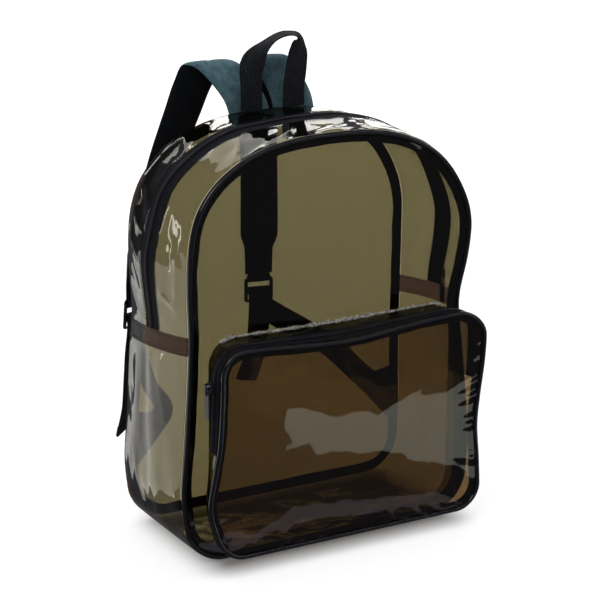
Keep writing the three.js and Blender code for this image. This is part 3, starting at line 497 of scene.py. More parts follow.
def capsule():
    """A stitch of half length and half thickness 1 along X, as points and faces."""
    angle = np.linspace(0, 2 * math.pi, 6, endpoint=False)
    rings = [[(x, r * math.cos(a), r * math.sin(a)) for a in angle]
             for x, r in ((-0.8, 0.7), (0, 1), (0.8, 0.7))]
    points = np.array([(-1, 0, 0), *rings[0], *rings[1], *rings[2], (1, 0, 0)])
    faces = grid_faces(3, 6, first=1)
    faces += [[1 + 6 * ring + 5, 7 + 6 * ring + 5, 7 + 6 * ring, 1 + 6 * ring] for ring in (0, 1)]
    faces += [[0, 1 + i, 1 + (i + 1) % 6] for i in range(6)]
    faces += [[19, 13 + (i + 1) % 6, 13 + i] for i in range(6)]
    return points, faces


def copies(name, at, along, out, size):
    """Many capsules in one mesh, of one size along, across and out."""
    points, faces = capsule()
    along = unit(along)
    side = unit(np.cross(out, along))
    out = np.cross(along, side)
    placed = at[:, None]
    for axis, direction in enumerate((along, side, out)):
        placed = placed + points[None, :, axis, None] * size[axis] * direction[:, None]
    count = len(points)
    every = [[corner + count * copy for corner in face]
             for copy in range(len(at)) for face in faces]
    return add_mesh(name, placed, every, sharp=80)


def follow(stops, along, values):
    """Numbers or vectors at stops between the places that they are given for."""
    if values.ndim == 1:
        return np.interp(stops, along, values)
    return np.stack([np.interp(stops, along, column) for column in values.T], -1)


def spaced(pitch, path, *others):
    """Values at places a pitch apart along a path: the place, the run there, then the others."""
    along = along_path(path)
    count = max(1, int(along[-1] / pitch))
    stops = (np.arange(count) + 0.5) * along[-1] / count
    return [follow(stops, along, values) for values in (path, np.gradient(path, axis=0), *others)]


# Materials
def node(tree, kind, inputs=None, **settings):
    made = tree.nodes.new("ShaderNode" + kind)
    for name, value in settings.items():
        setattr(made, name, value)
    for name, value in (inputs or {}).items():
        if isinstance(value, bpy.types.NodeSocket):
            tree.links.new(value, made.inputs[name])
        else:
            made.inputs[name].default_value = value
    return made


def material(name):
    made = bpy.data.materials.new(name)
    made.use_nodes = True
    made.node_tree.nodes.clear()
    return made, made.node_tree


def surface(tree, shader):
    node(tree, "OutputMaterial", {"Surface": shader.outputs[0]})


def speckle(tree, scale, detail=3.0):
    """Noise fixed to the object, about 0 to 1."""
    where = node(tree, "TexCoord").outputs["Object"]
    return node(tree, "TexNoise", {
        "Vector": where, "Scale": scale, "Detail": detail}).outputs["Fac"]


def bump(tree, height, distance, under=None):
    inputs = {"Height": height, "Distance": distance, "Strength": 1.0}
    if under:
        inputs["Normal"] = under
    return node(tree, "Bump", inputs).outputs["Normal"]


MIRROR_AHEAD = 0.04
MIRROR_GRAZING = 0.85


def vinyl(name, tint, roughness, depth, mirror=1.0):
    """Clear sheet that tints the light that passes it. Each of its faces lets the root of the tint
    through, and mirrors more at a low angle."""
    made, tree = material(name)
    slow = bump(tree, speckle(tree, 16, 2), depth)
    fine = bump(tree, speckle(tree, 60, 2), depth * 0.05, slow)
    facing = node(tree, "LayerWeight", {"Blend": 0.5, "Normal": fine}).outputs["Facing"]
    steep = node(tree, "Math", {0: facing, 1: 5.0}, operation="POWER").outputs[0]
    share = node(tree, "Math", {
        0: steep, 1: MIRROR_GRAZING * mirror, 2: MIRROR_AHEAD * mirror,
    }, operation="MULTIPLY_ADD").outputs[0]
    through = node(tree, "BsdfTransparent", {"Color": (*tint**0.5, 1)})
    shine = node(tree, "BsdfAnisotropic", {"Roughness": roughness, "Normal": fine})
    surface(tree, node(tree, "MixShader", {0: share, 1: through.outputs[0], 2: shine.outputs[0]}))
    return made


def shaded(tree, colour, low, high, scale, detail=4.0):
    """A colour that drifts between two shares of itself."""
    value = node(tree, "MapRange", {
        "Value": speckle(tree, scale, detail), "From Min": 0.3, "From Max": 0.7,
        "To Min": low, "To Max": high,
    }).outputs[0]
    return node(tree, "VectorMath", {0: colour, "Scale": value}, operation="SCALE").outputs[0]


def gloss(name, colour, roughness, depth, coat=0.0, grain=220, drift=(0.8, 1.25, 60)):
    """Shiny moulded plastic, cord or enamel."""
    made, tree = material(name)
    surface(tree, node(tree, "BsdfPrincipled", {
        "Base Color": shaded(tree, colour, *drift),
        "Roughness": roughness,
        "Specular IOR Level": 0.15,
        "Coat Weight": coat,
        "Coat Roughness": 0.04,
        "Normal": bump(tree, speckle(tree, grain), depth),
    }))
    return made


def cloth(name, colour, yarn, row, depth, roughness=0.8, sheen=0.008, seam=0.16):
    """Woven cloth with yarns of a length, row height and spacing in millimetres."""
    made, tree = material(name)
    where = node(tree, "UVMap", uv_map="weave").outputs["UV"]
    weave = node(tree, "TexBrick", {
        "Vector": where, "Scale": 1000.0, "Brick Width": yarn, "Row Height": row,
        "Mortar Size": seam, "Mortar Smooth": 0.8, "Color1": (1.25, 1.25, 1.25, 1),
        "Color2": (0.8, 0.8, 0.8, 1), "Mortar": (0.2, 0.2, 0.2, 1),
    })
    tone = node(tree, "VectorMath", {
        0: shaded(tree, colour, 0.75, 1.3, 140, 6), 1: weave.outputs["Color"],
    }, operation="MULTIPLY").outputs[0]
    relief = node(tree, "RGBToBW", {"Color": weave.outputs["Color"]}).outputs[0]
    fuzz = bump(tree, speckle(tree, 900, 2), depth * 0.4)
    surface(tree, node(tree, "BsdfPrincipled", {
        "Base Color": tone,
        "Roughness": roughness,
        "Specular IOR Level": 0.1,
        "Sheen Weight": sheen,
        "Sheen Roughness": 0.5,
        "Normal": bump(tree, relief, depth, fuzz),
    }))
    return made


TINT = np.array([0.36, 0.33, 0.22])
POCKET_TINT = np.array([0.4, 0.27, 0.165])
BAND_TINT = np.array([0.11, 0.065, 0.055])

# A finish is the name of its slot on the part and its materials.
SMOKED = "smoked_vinyl", vinyl("smoked_vinyl", TINT, 0.03, 0.0008)
CREASED = "smoked_vinyl", vinyl("creased_vinyl", TINT, 0.05, 0.0022)
# The pocket's rear gusset is the same smoked vinyl with a darker tint: painted shade of the pocket's
# inside that shows through it.
SHADE_DARKENED = "smoked_vinyl", vinyl("shade_darkened_vinyl", TINT * 0.3, 0.05, 0.0022)
POCKETED = "smoked_vinyl", vinyl("pocket_vinyl", POCKET_TINT, 0.03, 0.0006)
LAYERED = "layered_vinyl", vinyl("layered_vinyl", BAND_TINT, 0.25, 0.003, mirror=0.3)
# The gathered bead's pale grey colour with bright speckles, up to 2.4 times that colour, is painted
# highlights for the glints of its crinkled clear vinyl.
GATHERED_PAINTED_GLINTS = "smoked_vinyl", gloss(
    "gathered_vinyl_painted_glints", (0.14, 0.14, 0.12), 0.25, 0.0006, coat=0.6, drift=(0.1, 2.4, 420))
CORD = "black_cord", gloss("black_cord", (0.004, 0.004, 0.006), 0.14, 0.00012, coat=0.4)
METAL = gloss("black_enamel", (0.006, 0.006, 0.008), 0.35, 0.0001, coat=0.05)
PLASTIC = gloss("black_acetal", (0.006, 0.006, 0.008), 0.4, 0.00012, grain=900)
NYLON = "zip_coil", gloss("zip_nylon", (0.012, 0.012, 0.017), 0.3, 0.00005)
THREAD = None, gloss("black_thread", (0.008, 0.008, 0.01), 0.5, 0.0001, grain=1500)
TAPE = "black_tape", cloth("black_tape", (0.006, 0.006, 0.009), 1.3, 0.8, 0.00012)
WEBBING = "webbing", cloth("black_webbing", (0.017, 0.019, 0.023), 2.8, 2.4, 0.0009, seam=0.9)
PAD_FACE = cloth("charcoal_cloth", (0.075, 0.15, 0.18), 0.9, 0.6, 0.00012, 0.9, 0.2)
PAD_BACK = cloth("black_cloth", (0.003, 0.004, 0.006), 1.1, 0.8, 0.00015, 0.85)
PADDING = "pad_cloth", PAD_BACK, PAD_FACE


def dress(made, finish, *replaced):
    """Gives a piece of the bag the materials of its finish, hangs it on the bag and hides the solids
    of the part that it replaces.
    """
    slot, *materials = finish
    for one in materials:
        made.data.materials.append(one)
    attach(made, "bag")
    if replaced:
        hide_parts(*replaced)
    return made


# Front and back panels and the trims of their seams
PIPING_RADIUS = PIPING_DIAMETER / 2
PIPING_INSET = PIPING_RADIUS + GAP
WELT_RADIUS = WELT_DIAMETER / 2
WELT_INSET = WELT_RADIUS + GAP
FRONT_EDGE = PIPING_RADIUS + GAP
BACK_EDGE = BAG_DEPTH - WELT_RADIUS - GAP
BINDING_OUT = BAND_PROUD - BAND_THICKNESS - 3 * GAP
ZIP_MIDDLE = BAG_DEPTH / 2


def panel(name, wall, behind, inset, centre, face, thick, count=121):
    """A panel over a square grid that is drawn out to fill an outline."""
    u, v = np.meshgrid(*[np.linspace(-1, 1, count)] * 2, indexing="ij")
    radius = np.maximum(abs(u), abs(v))
    reach = np.where(radius > 0, radius, 1)
    share = np.select(
        [-v >= abs(u), u >= abs(v), v >= abs(u)],
        [u / reach / 8, 0.25 + v / reach / 8, 0.5 - u / reach / 8],
        0.75 - v / reach / 8)
    rim = wall(share, behind, -inset)
    x = lerp(centre[0], rim[..., 0], radius)
    z = lerp(centre[1], rim[..., 2], radius)
    y = face(x, z, radius, share)
    return slab(name, np.stack([x, y, z], -1), np.stack([x, y + thick, z], -1))


def puckers(seed, radius, share, depth, reach=0.1):
    """Short gathers beside a stitched seam."""
    inward = 1 - radius
    gathers = noise(seed, np.mod(share, 1) * 128, 0)
    return depth * np.exp(-inward / reach) * smooth(0, 0.02, inward) * gathers


def front_skin(x, z, radius, share):
    slack = 0.5 * (1 - radius**4) * noise(12, x / 55, z / 130)
    return front_face(x, z) + puckers(11, radius, share, 0.9) - slack


def back_skin(x, z, radius, share):
    slack = 0.5 * (1 - radius**4) * noise(14, x / 60, z / 90)
    return back_face(x, z) + puckers(13, radius, share, 0.8) + slack


BAG_CENTRE = (0, BAG_HEIGHT / 2)
dress(panel("front_panel_vinyl", bag_wall, 0, PIPING_INSET + PIPING_RADIUS + GAP, BAG_CENTRE,
            front_skin, VINYL), SMOKED, "front_panel")
dress(panel("back_panel_vinyl", bag_wall, BAG_DEPTH, WELT_INSET + WELT_RADIUS + GAP, BAG_CENTRE,
            back_skin, -VINYL), SMOKED, "back_panel")


def trim(name, wall, behind, out, count):
    """A trim all the way round an outline, through a section of places beside the seam."""
    shares = np.linspace(0, 1, count, endpoint=False)[:, None]
    behind, out = (
        value(shares) if callable(value) else np.asarray(value)[None] for value in (behind, out))
    return tube(name, wall(shares, behind, out), ringed=True)


def round_trim(name, wall, radius, behind, out, count=520, sides=14, lumps=0.0):
    angle = np.linspace(0, 2 * math.pi, sides, endpoint=False)
    swell = lambda shares: radius + lumps * noise(17, shares * 320, 0)
    return trim(
        name, wall, lambda shares: behind + swell(shares) * np.cos(angle),
        lambda shares: out + swell(shares) * np.sin(angle), count)


def flat_trim(name, wall, behind, thick, out, width, seed, wave=0.5):
    """A binding tape, with a slightly wavy inner edge."""
    edge = lambda shares: out - width + wave * noise(seed, shares * 64, 0)
    sides = (np.array([0, 0.5, 1, 1, 0.5, 0]), np.array([0, 0, 0, 1, 1, 1]))
    return trim(
        name, wall, behind + thick * sides[0],
        lambda shares: lerp(out, edge(shares), sides[1]), 420)


dress(round_trim("front_piping_cord", bag_wall, PIPING_RADIUS, 0, -PIPING_INSET, lumps=0.06),
      CORD, "front_piping")
dress(round_trim("back_welt_bead", bag_wall, WELT_RADIUS, BAG_DEPTH, -WELT_INSET, sides=10,
                 lumps=0.12), LAYERED, "back_welt")
for name, behind, seed in (("front", FRONT_EDGE, 21), ("back", BACK_EDGE - BINDING_THICKNESS, 22)):
    dress(flat_trim(f"{name}_binding_tape", bag_wall, behind, BINDING_THICKNESS, BINDING_OUT,
                    BINDING_WIDTH, seed), TAPE, f"{name}_binding")


# Side walls, base and the main zip
def band_top(behind):
    return lerp(BAND_TOP_FRONT, BAND_TOP_BACK, behind / BAG_DEPTH)


def band_foot(behind):
    return band_top(behind) - BAND_HEIGHT


def strip(name, wall, start, end, front, back, size, out=0.0, thick=VINYL, crease=None):
    """A strip of a side wall between two places round it and two distances behind the seam."""
    start, end, front, back = (
        value if callable(value) else (lambda _, value=value: value)
        for value in (start, end, front, back))
    t = np.linspace(0, 1, size[0])[:, None]
    row = np.linspace(0, 1, size[1])[None]
    rough = lerp(start(0), end(0), t)
    behind = lerp(front(rough), back(rough), row)
    share = lerp(start(behind), end(behind), t)
    if crease:
        out = out + crease(share, behind, row)
    return slab(name, wall(share, behind, out), wall(share, behind, out - thick))


def arch_start(behind):
    return right_at(BAG_SIDE, band_top(behind) + GAP)


def arch_end(behind):
    return left_at(BAG_SIDE, band_top(behind) + GAP)


def upper_crease(seed):
    def crease(share, behind, row):
        across = np.sin(math.pi * row) ** 0.8
        crown = smooth(0.3, 0.12, abs(share - 0.5)) * 1.5 + 0.5
        ends = (smooth(0, 0.03, share - arch_start(behind))
                * smooth(0, 0.03, arch_end(behind) - share))
        return across * crown * ends * folds(seed, share * 46 + behind / 60, behind / 34)
    return crease


def lower_crease(share, behind, row):
    across = np.sin(math.pi * row) ** 0.8
    height = bag_ring(share, 0.5)[1]
    rise = smooth(14, 60, height) * smooth(0, 12, band_foot(behind) - height)
    return 1.3 * across * rise * folds(33, share * 9 + behind / 90, behind / 26)


TAPE_FRONT = ZIP_MIDDLE - MAIN_TAPE_WIDTH / 2
TAPE_BACK = ZIP_MIDDLE + MAIN_TAPE_WIDTH / 2
dress(strip(
    "gusset_lower_vinyl", bag_wall, lambda behind: left_at(BAG_SIDE, band_foot(behind) - GAP) - 1,
    lambda behind: right_at(BAG_SIDE, band_foot(behind) - GAP), FRONT_EDGE, BACK_EDGE, (300, 44),
    crease=lower_crease,
), CREASED, "gusset_lower")
for name, front, back, seed in (
        ("front", FRONT_EDGE, TAPE_FRONT - GAP, 34), ("back", TAPE_BACK + GAP, BACK_EDGE, 35)):
    dress(strip(
        f"gusset_upper_{name}_vinyl", bag_wall, arch_start, arch_end, front, back, (360, 24),
        crease=upper_crease(seed),
    ), CREASED, f"gusset_upper_{name}")
dress(strip(
    "main_zip_tape_cloth", bag_wall, arch_start, arch_end, TAPE_FRONT, TAPE_BACK, (300, 12),
    thick=TAPE_THICKNESS,
), TAPE, "main_zip_tape")

# Zip teeth, with half their length, width and height, and stitches on walls and on straps
TOOTH_PITCH = 1.9
TOOTH_SIZE = (1.65, 0.66, 1.0)
TOOTH_OFFSET = COIL_WIDTH / 2 - TOOTH_SIZE[0]
STITCH_RADIUS = 0.3
STITCH_SHARE = 0.36
WALL_STITCH_PITCH = 4.0
STRAP_STITCH_PITCH = 3.6
TAPE_STITCH_INSET = 2.2


def coil(name, wall, shares, middle, replaced):
    """Two rows of interlocked zip teeth."""
    path, above = (wall(shares, middle, out) for out in (GAP + COIL_HEIGHT / 2, GAP + COIL_HEIGHT))
    at, run, out = spaced(TOOTH_PITCH, path, above - path)
    run, out = unit(run), unit(out)
    across = unit(np.cross(out, run))
    aside = across * TOOTH_OFFSET
    spots = np.concatenate([at + aside, at + run * TOOTH_PITCH / 2 - aside])
    teeth = copies(name, spots, np.tile(across, (2, 1)), np.tile(out, (2, 1)), TOOTH_SIZE)
    dress(teeth, NYLON, replaced)


def stitches(name, pitch, path, out):
    """A line of stitches along a path, on a surface that faces out."""
    size = (pitch * STITCH_SHARE, STITCH_RADIUS, STITCH_RADIUS)
    dress(copies(name, *spaced(pitch, path, out), size), THREAD)


def sew(name, wall, share, behind, out):
    """A line of stitches on a wall."""
    path, above = wall(share, behind, out), wall(share, behind, out + 1)
    stitches(name, WALL_STITCH_PITCH, path, above - path)


arch_shares = np.linspace(arch_start(ZIP_MIDDLE), arch_end(ZIP_MIDDLE), 900)
coil("main_zip_teeth", bag_wall, arch_shares, ZIP_MIDDLE, "main_zip_coil")
for name, behind in (
        ("front", TAPE_FRONT - TAPE_STITCH_INSET), ("back", TAPE_BACK + TAPE_STITCH_INSET)):
    sew(f"main_zip_stitches_{name}", bag_wall, arch_shares[6:-6], behind, 0.25)

for name, at, order in (("left", left_at, -1), ("right", right_at, 1)):
    edges = [
        (lambda behind, at=at, height=height: at(BAG_SIDE, height(behind)))
        for height in (band_foot, band_top)][::order]
    dress(strip(
        f"side_band_{name}_vinyl", bag_wall, *edges, FRONT_EDGE, BACK_EDGE, (10, 60),
        out=BAND_PROUD, thick=BAND_THICKNESS,
        crease=lambda share, behind, row: 0.25 * noise(41, share * 300, behind / 8),
    ), LAYERED, f"side_band_{name}")
    run = np.linspace(FRONT_EDGE + 2, BACK_EDGE - 2, 60)
    for row, below in enumerate((3, BAND_HEIGHT - 3)):
        sew(f"side_band_{name}_stitches_{row}", bag_wall, at(BAG_SIDE, band_top(run) - below), run,
            BAND_PROUD + 0.2)


# Front pocket
POCKET_EDGE = POCKET_PIPING / 2 + GAP
POCKET_TAPE_BACK = POCKET_EDGE + POCKET_TAPE_WIDTH
POCKET_START = right_at(POCKET_SIDE, POCKET_ZIP_RIGHT + GAP)
POCKET_END = left_at(POCKET_SIDE, POCKET_ZIP_LEFT + GAP)
POCKET_TAB = right_at(POCKET_SIDE, POCKET_ZIP_RIGHT - POCKET_END_LENGTH)
POCKET_CENTRE = (0, POCKET_FOOT + POCKET_HEIGHT / 2)


def pocket_face(x, z, radius, share):
    dome = POCKET_FRONT - VINYL / 2 - POCKET_DOME * (1 - radius**3)
    calm = 1 - radius**6
    slack = 0.7 * noise(51, x / 70 + z / 160, z / 55) + 0.1 * noise(52, x / 22, z / 26)
    return dome + calm * slack + puckers(53, radius, share, 0.5, 0.06)


dress(panel("pocket_front_vinyl", pocket_wall, 0, 2 * POCKET_EDGE, POCKET_CENTRE, pocket_face,
            VINYL), POCKETED, "pocket_front_panel")
dress(round_trim("pocket_piping_cord", pocket_wall, POCKET_PIPING / 2, 0, -POCKET_EDGE, 420,
                 lumps=0.06), CORD, "pocket_piping")
dress(flat_trim("pocket_binding_tape", pocket_wall, POCKET_EDGE, BINDING_THICKNESS,
                -POCKET_END_THICKNESS / 2 - 2 * GAP, POCKET_BINDING_WIDTH, 54),
      TAPE, "pocket_binding")
dress(strip("pocket_zip_tape_cloth", pocket_wall, POCKET_START, POCKET_END, POCKET_EDGE,
            POCKET_TAPE_BACK, (200, 10), thick=TAPE_THICKNESS), TAPE, "pocket_zip_tape")
pocket_shares = np.linspace(POCKET_START, POCKET_END, 700)
coil("pocket_zip_teeth", pocket_wall, pocket_shares, POCKET_EDGE + POCKET_TAPE_WIDTH / 2,
     "pocket_zip_coil")


def rear_crease(share, behind, row):
    height = pocket_ring(share, 1)[1]
    crown = smooth(POCKET_HIGH - 10, POCKET_CROWN, height)
    rim = np.sin(math.pi * np.clip(row, 0, 1)) ** 0.6
    return rim * (0.5 + crown) * folds(55, share * 60, row * 2.2) * 0.8


def foot_crease(share, behind, row):
    return 0.7 * np.sin(math.pi * row) * folds(56, share * 22, row * 1.6)


dress(strip("pocket_gusset_rear_vinyl", pocket_wall, POCKET_TAB, POCKET_END, POCKET_TAPE_BACK + GAP,
            pocket_reach, (260, 16), crease=rear_crease), SHADE_DARKENED, "pocket_gusset_rear")
dress(strip("pocket_zip_end_cloth", pocket_wall, POCKET_TAB,
            right_at(POCKET_SIDE, POCKET_ZIP_RIGHT), POCKET_EDGE, POCKET_TAPE_BACK, (14, 14),
            out=POCKET_END_THICKNESS / 2, thick=POCKET_END_THICKNESS), TAPE, "pocket_zip_end")
dress(strip("pocket_gusset_lower_vinyl", pocket_wall, left_at(POCKET_SIDE, POCKET_ZIP_LEFT) - 1,
            POCKET_TAB - GAP / POCKET_SIDE[2], POCKET_EDGE, pocket_reach, (260, 26),
            crease=foot_crease), CREASED, "pocket_gusset_lower")
for row, behind in enumerate((POCKET_EDGE + 2.5, POCKET_TAPE_BACK - 2, POCKET_TAPE_BACK + 2.5)):
    sew(f"pocket_zip_stitches_{row}", pocket_wall, pocket_shares[4:-4], behind, 0.3)


def rear_bead():
    """The gathered edge of vinyl where the pocket is sewn to the front panel."""
    angle = np.linspace(0, 2 * math.pi, 10, endpoint=False)
    corner = POCKET_HIGH + POCKET_CORNER
    shares = np.linspace(right_at(POCKET_SIDE, corner), left_at(POCKET_SIDE, corner), 460)[:, None]
    gather = 1 + 0.35 * noise(61, shares * 190, 0) + 0.25 * noise(62, shares * 420, angle)
    behind = pocket_reach(shares) - 2.2 + 1.8 * gather * np.cos(angle)
    return tube("pocket_rear_bead", pocket_wall(shares, behind, 0.6 + 1.7 * gather * np.sin(angle)))


dress(rear_bead(), GATHERED_PAINTED_GLINTS)


# Sliders, pullers and buckles keep their solids, with rounded edges
for name, finish, width in (
        ("main_slider", METAL, 0.5), ("main_puller", METAL, 0.35),
        ("pocket_slider", METAL, 0.5), ("pocket_puller", METAL, 0.35),
        ("buckle_left", PLASTIC, 0.6), ("buckle_right", PLASTIC, 0.6)):
    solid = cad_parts[name]
    solid.data.materials.clear()
    solid.data.materials.append(finish)
    weld = solid.modifiers.new("weld", "WELD")
    weld.merge_threshold = 1e-5
    rounding = solid.modifiers.new("rounding", "BEVEL")
    rounding.width = width * MM
    rounding.segments = 3
    rounding.limit_method = "ANGLE"
    rounding.harden_normals = True


# Straps
def spline(points):
    """A centripetal curve through points: places and runs at row numbers that may have parts."""
    every = np.concatenate([[2 * points[0] - points[1]], points, [2 * points[-1] - points[-2]]])
    step = np.sqrt(np.linalg.norm(np.diff(every, axis=0), axis=1))
    step = np.where(step < 1e-4, 1, step)

    def at(where):
        row = np.minimum(np.floor(where).astype(int), len(points) - 2)
        t = (where - row)[:, None]
        before, here, after, beyond = (every[row + i] for i in range(4))
        d0, d1, d2 = (step[row + i][:, None] for i in range(3))
        leave = ((here - before) / d0 - (after - before) / (d0 + d1) + (after - here) / d1) * d1
        arrive = ((after - here) / d1 - (beyond - here) / (d1 + d2) + (beyond - after) / d2) * d1
        square = 3 * (after - here) - 2 * leave - arrive
        cube = 2 * (here - after) + leave + arrive
        place = here + t * (leave + t * (square + t * cube))
        return place, unit(leave + t * (2 * square + 3 * t * cube))
    return at


def ribbon(rows, pitch=2.2):
    """The frames of a strap: its places, width and face directions, widths and thicknesses. A row
    is a place, a width direction, a width, a thickness and, where it isn't 1, a squareness."""
    points, across, width, thick, square = (
        np.array(values, float) for values in zip(*((*row, 1)[:5] for row in rows)))
    last = len(points) - 1
    gaps = np.linalg.norm(np.diff(points, axis=0), axis=1)
    counts = np.maximum(1, np.round(gaps / pitch)).astype(int)
    where = np.concatenate([*(row + np.arange(n) / n for row, n in enumerate(counts)), [last]])
    place, run = spline(points)(where)
    across, width, thick, square = (
        follow(where, np.arange(last + 1), values) for values in (across, width, thick, square))
    kernel = np.ones(7) / 7
    padded = np.pad(across, ((3, 3), (0, 0)), mode="edge")
    across = np.stack([np.convolve(column, kernel, "valid") for column in padded.T], -1)
    across = unit(across - square[:, None] * run * np.sum(across * run, 1, keepdims=True))
    return place, across, unit(np.cross(across, run)), width, thick


def strap_rings(frames, wide, thick):
    """Rings of points, through sections in shares of the strap's width and thickness."""
    place, across, face, width, depth = frames
    return (place[:, None] + across[:, None] * (wide * width[:, None])[..., None]
            + face[:, None] * (thick * depth[:, None])[..., None])


# The section of the webbing, with its corners cut off
web_wide = np.array([-0.5, -0.485, -0.25, 0, 0.25, 0.485, 0.5])
web_thick = np.array([0.25, 0.5, 0.5, 0.5, 0.5, 0.5, 0.25])
WEB_SECTION = (
    np.concatenate([web_wide, web_wide[::-1]])[None], np.concatenate([-web_thick, web_thick])[None])


def web(name, rows, *replaced):
    """A strap of webbing."""
    frames = ribbon(rows)
    dress(tube(name, strap_rings(frames, *WEB_SECTION)), WEBBING, *replaced)
    return frames


def sew_strap(name, frames, stops, wide, side, clear=0.15):
    """Stitches on a strap's face, along it or across it, at shares of its rows and its width."""
    last = len(frames[0]) - 1
    stops, wide = np.broadcast_arrays(np.asarray(stops, float) * last, np.asarray(wide, float))
    place, across, face, width, depth = (
        follow(stops, np.arange(last + 1), values) for values in frames)
    lift = side * (depth / 2 + clear)
    path = place + across * (wide * width)[:, None] + face * lift[:, None]
    stitches(name, STRAP_STITCH_PITCH, path, side * face)


def level(turn):
    return np.array([math.cos(math.radians(turn)), math.sin(math.radians(turn)), 0])


def arch_top(x):
    across = abs(x) / BAG_HALF
    rise = (1 - across**ARCH_SQUARENESS) ** (1 / ARCH_SQUARENESS)
    return ARCH_START + rise * (BAG_HEIGHT - ARCH_START)


# Grab handle
handle_back = 1 - HANDLE_INSET / BAG_DEPTH
top_bulge = GUSSET_BULGE * BAG_SHAPE["bulge"][-1] * 4 * handle_back * (1 - handle_back)
handle_rows = []
for across, rise, lean, turn in HANDLE_ROUTE:
    x = HANDLE_CENTRE + across * HANDLE_SPACING / 2
    foot = arch_top(max(abs(x) - WEBBING_WIDTH / 2, 0)) + top_bulge + GAP
    at = (x, BAG_DEPTH / 2 - HANDLE_INSET + lean * HANDLE_LEAN, foot + rise * HANDLE_RISE)
    handle_rows.append((at, level(turn), WEBBING_WIDTH, WEBBING_THICKNESS))
web("handle_webbing", handle_rows, "handle")

# Shoulder straps
PAD_SEAT = BAG_DEPTH / 2 + WELT_RADIUS + GAP + PAD_THICKNESS * PAD_ROOT_SHARE / 2
WRAP = math.hypot(BUCKLE_BAR, BUCKLE_THICKNESS) / 2 + GAP + WEBBING_THICKNESS / 2
TAIL_PLY = BUCKLE_THICKNESS / 2 + GAP + WEBBING_THICKNESS / 2
LOAD_PLY = TAIL_PLY + WEBBING_THICKNESS + GAP
ANCHOR_SEAM = BAG_HALF - PIPING_INSET


def pad(name, rows, seed, replaced):
    """A foam pad: crowned, with thin edges and one sewn groove along its grey face."""
    frames = ribbon(rows, 3)
    half = 20
    wide = 0.5 * np.sin(np.linspace(-math.pi / 2, math.pi / 2, half))
    along = along_path(frames[0])[:, None]
    crown = 0.5 * (1 - 0.93 * np.abs(2 * wide) ** 6) ** 0.7
    groove = 0.3 * np.exp(-(wide * PAD_WIDTH / 1.5) ** 2)
    soft = 0.05 * noise(seed, along / 24, wide * 3) * (1 - np.abs(2 * wide) ** 4)
    front = crown - groove + soft
    back = -crown + 0.04 * noise(seed + 1, along / 30, wide * 3)
    rings = strap_rings(frames, np.concatenate([wide, wide[::-1]])[None],
                        np.concatenate([back, front[:, ::-1]], 1))
    grey = [int(half - 1 <= side < 2 * half - 1) for side in range(2 * half)]
    made = dress(tube(name, rings, sorts=grey, sharp=70), PADDING, replaced)
    return frames


def anchor(name, sign):
    """A cloth tab in the back seam, with its inner end cut square to the webbing that leaves it.
    Returns the middle of that end, and the webbing's run and width directions there."""
    seam = sign * ANCHOR_SEAM
    angle = math.radians(ANCHOR_ANGLE)
    run = np.array([-sign * math.cos(angle), math.sin(angle)])
    leave = np.array([seam - sign * ANCHOR_REACH, ANCHOR_FOOT + ANCHOR_RISE])
    cut = np.array([sign * run[1], -sign * run[0]]) * WEBBING_WIDTH / 2
    corners = np.array([
        (seam, ANCHOR_FOOT + ANCHOR_HEIGHT), leave + cut, leave - cut, (seam, ANCHOR_FOOT)])
    seat = back_face(*corners.T).max() + GAP
    s, t = (v[..., None] for v in np.meshgrid(*[np.linspace(0, 1, 15)] * 2, indexing="ij"))
    flat = lerp(lerp(corners[0], corners[3], s), lerp(corners[1], corners[2], s), t)
    puff = 0.35 * np.sin(math.pi * s[..., 0]) * np.sin(math.pi * t[..., 0])
    skin = lambda y: np.stack([flat[..., 0], y, flat[..., 1]], -1)
    dress(slab(f"strap_anchor_{name}_cloth", skin(seat - 0.1 * puff),
               skin(seat + ANCHOR_THICKNESS - 0.3 + puff)), TAPE, f"strap_anchor_{name}")
    start = np.array([leave[0], seat + ANCHOR_THICKNESS / 2, leave[1]])
    return start, np.array([run[0], 0, run[1]]), sign * unit(np.array([cut[0], 0, cut[1]]))


